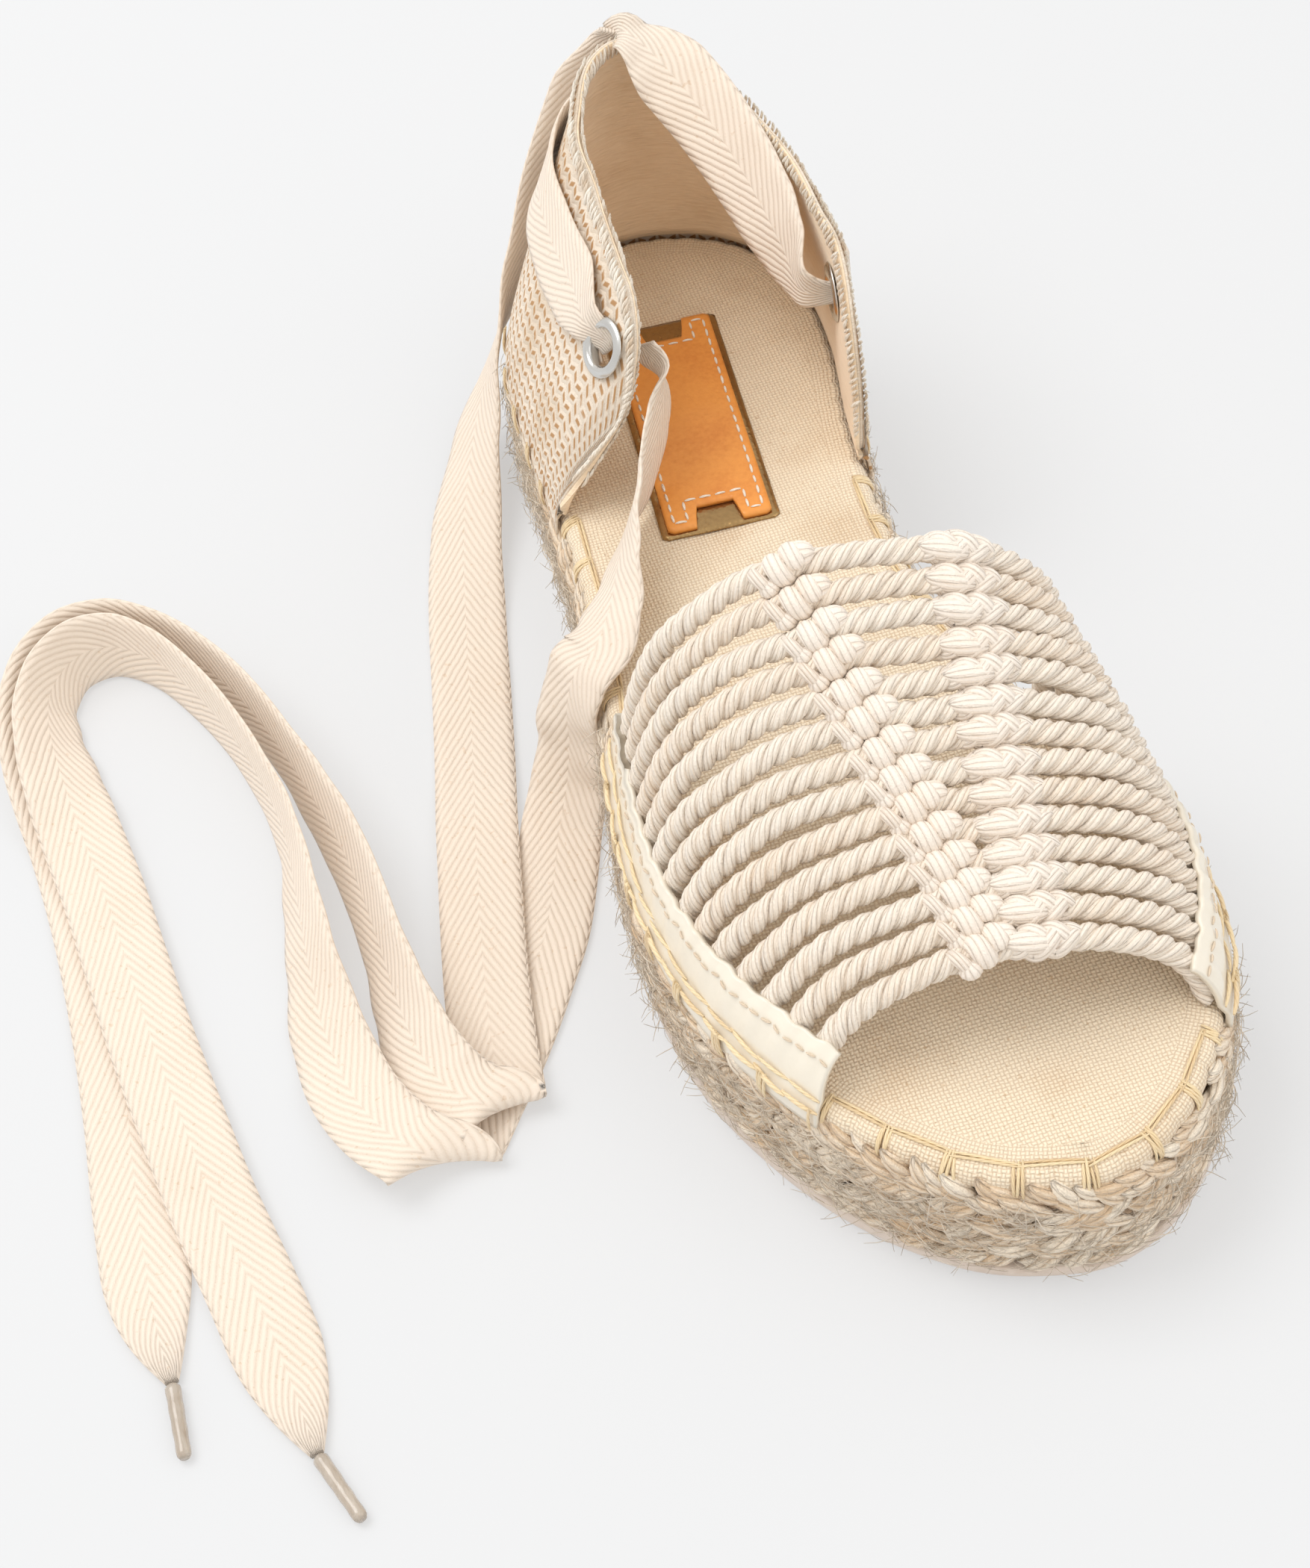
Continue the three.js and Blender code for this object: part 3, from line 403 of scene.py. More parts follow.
# Meshes
class Bundle:
    """Gathers grids of points into one mesh, in metres, with the map and attributes finishes read."""

    def __init__(self) -> None:
        """Start empty."""
        self.points: list[Array] = []
        self.quads: list[Array] = []
        self.maps: list[Array] = []
        self.rings: list[Array] = []
        self.reaches: list[Array] = []
        self.tones: list[Array] = []
        self.count = 0

    def add(self, grid: Array, wrap: bool, u: Array, v: Array, cap: bool = True,
            tone: float = 0.5, wrap_rows: bool = False) -> None:
        """Add a grid of points as a skin of quads.

        Args:
            grid: Points by row and column, in millimetres.
            wrap: Whether the last column joins the first.
            u: Map's first number at each row.
            v: Map's second number at each column, and once more past the last where it wraps.
            cap: Whether both end rows are closed by strips.
            tone: How light the grid is, from 0 to 1.
            wrap_rows: Whether the last row joins the first.
        """
        rows, columns = grid.shape[:2]
        row = np.arange(rows if wrap_rows else rows - 1)[:, None]
        column = np.arange(columns if wrap else columns - 1)[None, :]
        ahead = (row + 1) % rows
        beside = (column + 1) % columns
        quads = np.stack([row * columns + column, ahead * columns + column,
                          ahead * columns + beside, row * columns + beside], axis=-1).reshape(-1, 4)
        u_next = u[np.minimum(row + 1, len(u) - 1)]
        corners = [(u[row], v[column]), (u_next, v[column]), (u_next, v[column + 1]), (u[row], v[column + 1])]
        maps = np.stack([np.stack(np.broadcast_arrays(a, b), -1) for a, b in corners], -2).reshape(-1, 4, 2)
        if cap and wrap and not wrap_rows:
            half = np.arange(columns // 2 - 1)
            strip = np.stack([half, half + 1, columns - 2 - half, columns - 1 - half], -1)
            far = strip[:, ::-1]
            quads = np.vstack([quads, strip, far + (rows - 1) * columns])
            ends = np.repeat([u[0], u[-1]], len(strip))[:, None] + np.zeros((1, 4))
            maps = np.vstack([maps, np.stack([ends, v[np.concatenate([strip, far])]], -1)])
        flat_points = grid.reshape(-1, 3)
        corner = flat_points[quads]
        volume = np.sum(corner[:, 0] * np.cross(corner[:, 1], corner[:, 2]))
        volume += np.sum(corner[:, 0] * np.cross(corner[:, 2], corner[:, 3]))
        if volume < 0:
            quads = quads[:, ::-1]
            maps = maps[:, ::-1]
        turn = np.arange(columns) / columns * 2 * math.pi
        ring = np.stack([np.cos(turn), np.sin(turn), np.zeros(columns)], axis=-1)
        self.points.append(flat_points)
        self.quads.append(quads + self.count)
        self.maps.append(maps)
        self.rings.append(np.tile(ring, (rows, 1)))
        self.reaches.append(np.repeat(u[:rows], columns))
        self.tones.append(np.full(rows * columns, tone))
        self.count += rows * columns

    def lid(self, ring: Array, cells: int) -> None:
        """Close a ring with rows of cells that run across it."""
        grid = across_cap(ring, cells)
        self.add(grid, False, np.zeros(len(grid)), np.zeros(cells + 1), cap=False)

    def tube(self, path: Array, radius: Array | float, sides: int, out: Array,
             tone: float = 0.5, run: Array | None = None) -> None:
        """Add a round tube along a path.

        Args:
            path: Points of its middle line.
            radius: Its radius, or one for each point.
            sides: Points round it.
            out: A direction at each point that isn't the path's own.
            tone: How light it is, from 0 to 1.
            run: Length run at each point, measured where it isn't given.
        """
        heading = unit(np.gradient(path, axis=0))
        first = unit(out - np.sum(out * heading, axis=1, keepdims=True) * heading)
        second = np.cross(heading, first)
        turn = (np.arange(sides) / sides * 2 * math.pi)[None, :, None]
        spread = first[:, None] * np.cos(turn) + second[:, None] * np.sin(turn)
        grid = path[:, None] + spread * np.broadcast_to(radius, len(path))[:, None, None]
        run = run_lengths(path) if run is None else run
        self.add(grid, True, run, np.arange(sides + 1) / sides, tone=tone)

    def make(self, name: str, material: Material, merge: float = 0.0) -> Object:
        """Make the object.

        Args:
            name: Its name.
            material: Its finish.
            merge: Distance in millimetres within which points are joined, or 0.

        Returns:
            The object, linked to the scene.
        """
        points = np.vstack(self.points) * MM
        quads = np.vstack(self.quads)
        mesh = bpy.data.meshes.new(name)
        mesh.vertices.add(len(points))
        mesh.vertices.foreach_set("co", points.ravel())
        mesh.loops.add(quads.size)
        mesh.loops.foreach_set("vertex_index", quads.ravel().astype(np.int32))
        mesh.polygons.add(len(quads))
        mesh.polygons.foreach_set("loop_start", np.arange(0, quads.size, 4, dtype=np.int32))
        mesh.uv_layers.new(name="UVMap")
        mesh.uv_layers["UVMap"].data.foreach_set("uv", np.vstack(self.maps).ravel())
        for label, kind, key, values in (("ring", "FLOAT_VECTOR", "vector", np.vstack(self.rings).ravel()),
                                         ("reach", "FLOAT", "value", np.concatenate(self.reaches) * MM),
                                         ("tone", "FLOAT", "value", np.concatenate(self.tones))):
            mesh.attributes.new(label, kind, "POINT").data.foreach_set(key, values)
        mesh.update(calc_edges=True)
        mesh.polygons.foreach_set("use_smooth", np.ones(len(quads), dtype=bool))
        if merge > 0:
            work = bmesh.new()
            work.from_mesh(mesh)
            bmesh.ops.remove_doubles(work, verts=work.verts, dist=merge * MM)
            bmesh.ops.dissolve_degenerate(work, edges=work.edges, dist=merge * MM)
            bmesh.ops.recalc_face_normals(work, faces=work.faces)
            work.to_mesh(mesh)
            work.free()
        mesh.validate()
        mesh.materials.append(material)
        obj = bpy.data.objects.new(name, mesh)
        bpy.context.scene.collection.objects.link(obj)
        return obj


def closed_wall(outer: Array, inner: Array) -> Array:
    """Join two facing grids into loops that go up the outer face and down the inner one."""
    return np.concatenate([outer, inner[:, ::-1]], axis=1)


def wall_map(outer: Array) -> Array:
    """Return the map's second number round such a loop, from the lengths of its outer face."""
    middle = outer[len(outer) // 2]
    rising = run_lengths(middle)
    return np.concatenate([rising, rising[::-1], rising[:1]])


def place(obj: Object, slot: str, *nodes: str) -> Object:
    """Ride a piece on the sandal's body and say which nodes it stands for.

    Args:
        obj: The piece.
        slot: Name of a material slot; not used.
        nodes: Nodes that the piece replaces.

    Returns:
        The same piece.
    """
    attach(obj, ROOT)
    if nodes:
        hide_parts(*nodes)
    LOG.info("%s: %d faces, stands for %s", obj.name, len(obj.data.polygons), ", ".join(nodes) or "nothing")
    return obj


# Nodes
class Graph:
    """Adds nodes to a tree, feeding each from values or from other nodes' sockets."""

    def __init__(self, tree: NodeTree) -> None:
        """Keep the tree."""
        self.tree = tree

    def add(self, kind: str, inputs: dict | None = None, **settings: object) -> Node:
        """Add a node.

        Args:
            kind: The node's type.
            inputs: Values or sockets by the input's name or number.
            settings: Properties set first.

        Returns:
            The node.
        """
        node = self.tree.nodes.new(kind)
        for name, value in settings.items():
            setattr(node, name, value)
        for name, value in (inputs or {}).items():
            self.feed(node, name, value)
        return node

    def feed(self, node: Node, name: str | int, value: object) -> None:
        """Set or link one input of a node."""
        socket = node.inputs[name] if isinstance(name, int) else enabled(node.inputs, name)
        if isinstance(value, NodeSocket):
            self.tree.links.new(value, socket)
        else:
            socket.default_value = value

    def math(self, operation: str, first: object, second: object = 0.0, third: object = 0.0) -> object:
        """Add a math node and return its result."""
        kind = "ShaderNodeMath"
        return self.add(kind, {0: first, 1: second, 2: third}, operation=operation).outputs[0]

    def ramp(self, value: object, low: float, high: float) -> object:
        """Stretch a value smoothly from 0 at one bound to 1 at the other and return the result."""
        bounds = {"Value": value, "From Min": low, "From Max": high}
        node = self.add("ShaderNodeMapRange", bounds, interpolation_type="SMOOTHSTEP")
        return node.outputs["Result"]

    def mix(self, share: object, first: object, second: object) -> object:
        """Mix two colours and return the result."""
        node = self.add("ShaderNodeMix", data_type="RGBA")
        for number, value in ((0, share), (6, first), (7, second)):
            self.feed(node, number, value)
        return node.outputs[2]

    def total(self, *values: object) -> object:
        """Add values up and return the sum."""
        result = values[0]
        for value in values[1:]:
            result = self.math("ADD", result, value)
        return result

    def vector(self, x: object = 0.0, y: object = 0.0, z: object = 0.0) -> object:
        """Join three numbers into a vector and return it."""
        return self.add("ShaderNodeCombineXYZ", {0: x, 1: y, 2: z}).outputs[0]

    def split(self, vector: object) -> object:
        """Return the three numbers of a vector."""
        return self.add("ShaderNodeSeparateXYZ", {0: vector}).outputs

    def where(self) -> object:
        """Return the place on the sandal."""
        return self.add("ShaderNodeTexCoord").outputs["Object"]

    def noise(self, vector: object, scale: object, detail: object, output: str = "Fac") -> object:
        """Return soft noise, as a number or as a colour."""
        inputs = {"Vector": vector, "Scale": scale, "Detail": detail}
        return self.add("ShaderNodeTexNoise", inputs).outputs[output]


def enabled(sockets: object, name: str) -> NodeSocket:
    """Find the socket of a name that is in use."""
    return next(socket for socket in sockets if socket.name == name and socket.enabled)


def new_group(name: str, kind: str, takes: dict[str, tuple],
              gives: dict[str, str]) -> tuple[Graph, object, object]:
    """Start a node group with named sockets.

    Args:
        name: The group's name.
        kind: ShaderNodeTree or GeometryNodeTree.
        takes: Socket type and default for each input.
        gives: Socket type for each output.

    Returns:
        The graph, the node of its inputs and the node of its outputs.
    """
    tree = bpy.data.node_groups.new(name, kind)
    for label, (socket_type, default) in takes.items():
        socket = tree.interface.new_socket(name=label, in_out="INPUT", socket_type=socket_type)
        if default is not None:
            socket.default_value = default
    for label, socket_type in gives.items():
        tree.interface.new_socket(name=label, in_out="OUTPUT", socket_type=socket_type)
    graph = Graph(tree)
    return graph, graph.add("NodeGroupInput"), graph.add("NodeGroupOutput")


NUMBER = "NodeSocketFloat"
VECTOR = "NodeSocketVector"


class Effects:
    """Shader groups that several finishes share, each built once."""

    twill_slope = 1.9

    def __init__(self) -> None:
        """Build all the groups."""
        self.twist = self.build_twist()
        self.fibre = self.build_fibre()
        self.soiling = self.build_soiling()
        self.weave = self.build_weave()

    def build_twist(self) -> NodeTree:
        """Make grooves that wind round a yarn, from its ring direction and its length run."""
        takes = {"Ring": (VECTOR, None), "Reach": (NUMBER, 0.0), "Strands": (NUMBER, 3.0),
                 "Lay": (NUMBER, 0.01)}
        graph, given, result = new_group("wound yarn", "ShaderNodeTree", takes, {"Height": NUMBER})
        x, y, _ = graph.split(given.outputs["Ring"])
        angle = graph.math("ARCTAN2", y, x)
        turns = graph.math("DIVIDE", graph.math("MULTIPLY", angle, given.outputs["Strands"]), 2 * math.pi)
        wound = graph.math("DIVIDE", given.outputs["Reach"], given.outputs["Lay"])
        wave = graph.math("PINGPONG", graph.math("ADD", turns, wound), 0.5)
        graph.feed(result, "Height", graph.math("SQRT", graph.math("MULTIPLY", wave, 2.0)))
        return graph.tree

    def build_fibre(self) -> NodeTree:
        """Make fine fibres that run along a direction with stretched noise."""
        takes = {"Vector": (VECTOR, None), "Fineness": (VECTOR, (1.0, 1.0, 1.0)), "Roughen": (NUMBER, 3.0)}
        graph, given, result = new_group("fine fibres", "ShaderNodeTree", takes, {"Value": NUMBER})
        scaled = graph.add("ShaderNodeVectorMath", {0: given.outputs["Vector"], 1: given.outputs["Fineness"]},
                           operation="MULTIPLY")
        value = graph.noise(scaled.outputs[0], 1.0, given.outputs["Roughen"])
        graph.feed(result, "Value", value)
        return graph.tree

    def build_soiling(self) -> NodeTree:
        """Make soft patches where cloth has darkened with handling, by place on the sandal."""
        takes = {"Scale": (NUMBER, 60.0), "Amount": (NUMBER, 0.5)}
        graph, given, result = new_group("handling marks", "ShaderNodeTree", takes, {"Mask": NUMBER})
        noise = graph.noise(graph.where(), given.outputs["Scale"], 4.0)
        patches = graph.ramp(noise, 0.42, 0.75)
        graph.feed(result, "Mask", graph.math("MULTIPLY", patches, given.outputs["Amount"]))
        return graph.tree

    def build_weave(self) -> NodeTree:
        """Make crossing threads from a map in millimetres: plain, or a broken twill that makes arrows."""
        takes = {"Vector": (VECTOR, None), "Pitch": (NUMBER, 0.75), "Twill": (NUMBER, 0.0),
                 "Columns": (NUMBER, 2.0)}
        graph, given, result = new_group("woven threads", "ShaderNodeTree", takes, {"Height": NUMBER})
        across, along, _ = graph.split(given.outputs["Vector"])
        run = graph.math("DIVIDE", across, given.outputs["Pitch"])
        rise = graph.math("DIVIDE", along, given.outputs["Pitch"])
        caps = [graph.math("SINE", graph.math("MULTIPLY", graph.math("FRACT", part), math.pi))
                for part in (run, rise)]
        cells = graph.math("ADD", graph.math("FLOOR", run), graph.math("FLOOR", rise))
        odd = graph.math("MULTIPLY", graph.math("FRACT", graph.math("MULTIPLY", cells, 0.5)), 2.0)
        over = [graph.math("MULTIPLY", first, graph.math("MULTIPLY_ADD", second, 0.4, 0.6))
                for first, second in (caps, caps[::-1])]
        plain = graph.math("MULTIPLY_ADD", graph.math("SUBTRACT", over[1], over[0]), odd, over[0])
        zigzag = graph.math("PINGPONG", along, given.outputs["Columns"])
        steep = graph.math("MULTIPLY", zigzag, self.twill_slope)
        slope = graph.math("ADD", run, graph.math("DIVIDE", steep, given.outputs["Pitch"]))
        arrows = graph.math("SINE", graph.math("MULTIPLY", graph.math("FRACT", slope), math.pi))
        difference = graph.math("SUBTRACT", arrows, plain)
        graph.feed(result, "Height", graph.math("MULTIPLY_ADD", difference, given.outputs["Twill"], plain))
        return graph.tree


class Coat(Graph):
    """The graph of one material, with the steps that the finishes share."""

    def __init__(self, name: str, effects: Effects) -> None:
        """Start the material."""
        self.material = bpy.data.materials.new(name)
        self.material.use_nodes = True
        super().__init__(self.material.node_tree)
        self.shader = self.tree.nodes["Principled BSDF"]
        self.effects = effects

    def attribute(self, name: str, output: str = "Fac") -> object:
        """Return an attribute of the mesh."""
        return self.add("ShaderNodeAttribute", attribute_name=name).outputs[output]

    def flat(self) -> object:
        """Return the mesh's map in millimetres."""
        return self.add("ShaderNodeUVMap", uv_map="UVMap").outputs["UV"]

    def effect(self, tree: NodeTree, output: str, **inputs: object) -> object:
        """Return what a shared group makes from its inputs."""
        titled = {name.title(): value for name, value in inputs.items()}
        return self.add("ShaderNodeGroup", titled, node_tree=tree).outputs[output]

    def fibres(self, vector: object, fineness: tuple[float, float, float]) -> object:
        """Return fine fibres along a vector."""
        return self.effect(self.effects.fibre, "Value", vector=vector, fineness=fineness)

    def marks(self, scale: float, amount: float) -> object:
        """Return the mask of handling marks."""
        return self.effect(self.effects.soiling, "Mask", scale=scale, amount=amount)

    def short_of(self, level: float, value: object, share: float) -> object:
        """Return a share of how far a value stays below a level."""
        return self.math("MULTIPLY", self.math("SUBTRACT", level, value), share)

    def colour(self, shade: object, low: float, high: float, light: tuple, dark: tuple) -> None:
        """Colour the shader from light to dark as a shade rises between two bounds."""
        mixed = self.mix(self.ramp(shade, low, high), linear(*light), linear(*dark))
        self.feed(self.shader, "Base Color", mixed)

    def settle(self, **values: float) -> None:
        """Set the shader's own constants, named with an underscore for a space."""
        for name, value in values.items():
            self.shader.inputs[name.replace("_", " ").title()].default_value = value

    def bump(self, height: object, depth: float) -> Material:
        """Feed a height into the shader's normal, with its depth in millimetres, and return the material."""
        inputs = {"Height": height, "Distance": depth * MM, "Strength": 1.0}
        self.feed(self.shader, "Normal", self.add("ShaderNodeBump", inputs).outputs["Normal"])
        return self.material


@dataclass(frozen=True)
class YarnFinish:
    """Twisted yarn or thread, read from the ring, reach and tone that its mesh carries, with painted shade in
    its grooves.
    """

    name: str
    light: tuple
    dark: tuple
    roughness: float = 0.9
    strands: float = 3.0
    lay: float = 6.0
    # Groove depth sets both the bump and how much painted shade darkens the grooves
    groove: float = 0.25
    fibre: float = 0.5
    gloss: float = 0.0
    soiled: float = 0.25

    def material(self, effects: Effects) -> Material:
        """Build the material from the shared effects."""
        coat = Coat(self.name, effects)
        ring = coat.attribute("ring", "Vector")
        reach = coat.attribute("reach")
        wound = coat.effect(effects.twist, "Height", ring=ring, reach=reach, strands=self.strands,
                            lay=self.lay * MM)
        x, y, _ = coat.split(ring)
        fibres = coat.fibres(coat.vector(x, y, reach), (7.0, 7.0, 420.0))
        fluff = coat.noise(coat.where(), 2600.0, 2.0)
        # Painted shade: the colour darkens in the grooves between the wound strands
        depth = coat.short_of(1.0, wound, self.groove * 1.6)
        grain = coat.short_of(0.62, fibres, self.fibre)
        shade = coat.total(depth, grain, coat.marks(70.0, self.soiled), 0.5)
        shade = coat.math("SUBTRACT", shade, coat.attribute("tone"))
        coat.colour(shade, -0.1, 1.0, self.light, self.dark)
        coat.settle(roughness=self.roughness, coat_weight=self.gloss, coat_roughness=0.3,
                    sheen_weight=0.25 * (1.0 - self.gloss))
        height = coat.math("MULTIPLY_ADD", fibres, self.fibre, fluff)
        return coat.bump(coat.math("MULTIPLY_ADD", wound, 1.6, height), self.groove)


class Cloth(Enum):
    """How a cloth is made."""

    PLAIN = 0.0
    TWILL = 1.0


@dataclass(frozen=True)
class ClothFinish:
    """Woven cloth, read from its map in millimetres, with painted shade in the gaps between its threads."""

    name: str
    cloth: Cloth
    light: tuple
    dark: tuple
    pitch: float
    columns: float = 2.0
    depth: float = 0.22
    # How much painted shade darkens the gaps between the threads
    contrast: float = 0.55
    flecks: float = 0.3
    soiled: float = 0.3

    def material(self, effects: Effects) -> Material:
        """Build the material from the shared effects."""
        coat = Coat(self.name, effects)
        flat = coat.flat()
        where = coat.where()
        wobble = coat.noise(where, 240.0, 2.0, "Color")
        shifted = coat.add("ShaderNodeVectorMath", {0: wobble, 1: (0.5, 0.5, 0.0), 2: flat},
                           operation="MULTIPLY_ADD").outputs[0]
        threads = coat.effect(effects.weave, "Height", vector=shifted, pitch=self.pitch,
                              twill=self.cloth.value, columns=self.columns)
        fibres = coat.fibres(flat, (2.2, 5.0, 1.0))
        specks = coat.math("MULTIPLY", coat.ramp(coat.noise(where, 900.0, 1.0), 0.68, 0.74), self.flecks)
        # Painted shade: the colour darkens in the gaps between the threads
        gaps = coat.short_of(1.0, threads, self.contrast)
        shade = coat.total(gaps, coat.short_of(0.5, fibres, 0.4), coat.marks(45.0, self.soiled), specks)
        coat.colour(shade, -0.1, 1.0, self.light, self.dark)
        coat.settle(roughness=0.92, sheen_weight=0.2)
        return coat.bump(coat.math("MULTIPLY_ADD", fibres, 0.35, threads), self.depth)


@dataclass(frozen=True)
class KnitFinish:
    """Two-tone knit: pale ground with rows of short slanted dashes, read from its map in millimetres."""

    name: str
    light: tuple
    dark: tuple
    dash: tuple
    column: float = 4.2
    row: float = 3.1

    def material(self, effects: Effects) -> Material:
        """Build the material from the shared effects."""
        coat = Coat(self.name, effects)
        flat = coat.flat()
        across, along, _ = coat.split(flat)
        beside = coat.math("PINGPONG", coat.math("DIVIDE", across, self.column), 0.5)
        rise = coat.math("DIVIDE", along, self.row)
        slanted = coat.math("FRACT", coat.math("MULTIPLY_ADD", beside, -0.9, rise))
        mid = coat.math("ABSOLUTE", coat.math("SUBTRACT", slanted, 0.5))
        inside = coat.math("ABSOLUTE", coat.math("SUBTRACT", beside, 0.25))
        dash = coat.math("MULTIPLY", coat.ramp(mid, 0.24, 0.12), coat.ramp(inside, 0.22, 0.13))
        dash = coat.math("MULTIPLY", dash, coat.ramp(coat.noise(flat, 0.35, 2.0), 0.2, 0.45))
        fibres = coat.fibres(flat, (6.0, 3.0, 1.0))
        shade = coat.total(coat.math("SUBTRACT", 0.9, fibres), coat.marks(60.0, 0.25))
        ground = coat.mix(coat.ramp(shade, 0.1, 1.0), linear(*self.light), linear(*self.dark))
        coat.feed(coat.shader, "Base Color", coat.mix(dash, ground, linear(*self.dash)))
        coat.settle(roughness=0.92)
        ribs = coat.math("SINE", coat.math("MULTIPLY", slanted, math.pi))
        return coat.bump(coat.math("MULTIPLY_ADD", fibres, 0.5, ribs), 0.3)


@dataclass(frozen=True)
class SkinFinish:
    """Leather, suede, rubber or foil: a grained skin by place on the sandal."""

    name: str
    light: tuple
    dark: tuple
    roughness: float
    grain: float = 900.0
    depth: float = 0.05
    stretch: tuple = (1.0, 1.0, 1.0)
    gloss: float = 0.0
    metallic: float = 0.0
    soiled: float = 0.3
    mottle: float = 0.6
    velvet: float = 0.0

    def material(self, effects: Effects) -> Material:
        """Build the material from the shared effects."""
        coat = Coat(self.name, effects)
        where = coat.where()
        scaled = coat.add("ShaderNodeVectorMath", {0: where, 1: self.stretch}, operation="MULTIPLY")
        pits = {"Vector": scaled.outputs[0], "Scale": self.grain}
        cells = coat.add("ShaderNodeTexVoronoi", pits).outputs["Distance"]
        fibres = coat.fibres(where, tuple(self.grain * 0.7 * part for part in self.stretch))
        grain = coat.math("MULTIPLY", coat.math("SUBTRACT", fibres, 0.25), self.mottle)
        shade = coat.total(grain, coat.marks(55.0, self.soiled))
        coat.colour(shade, 0.0, 0.9, self.light, self.dark)
        coat.feed(coat.shader, "Roughness", coat.math("MULTIPLY_ADD", fibres, 0.2, self.roughness - 0.1))
        coat.settle(coat_weight=self.gloss, metallic=self.metallic, sheen_weight=self.velvet)
        return coat.bump(coat.total(cells, fibres), self.depth)


@dataclass(frozen=True)
class FilmFinish:
    """Clear shrunk film over the tie's tip."""

    name: str = "clear film"
    light: tuple = (236, 226, 212)
    dark: tuple = (180, 160, 138)

    def material(self, effects: Effects) -> Material:
        """Build the material from the shared effects."""
        coat = Coat(self.name, effects)
        fibres = coat.fibres(coat.where(), (900.0, 260.0, 900.0))
        coat.feed(coat.shader, "Base Color", coat.mix(fibres, linear(*self.light), linear(*self.dark)))
        coat.settle(roughness=0.18, transmission_weight=0.45, coat_weight=0.6)
        return coat.bump(fibres, 0.1)


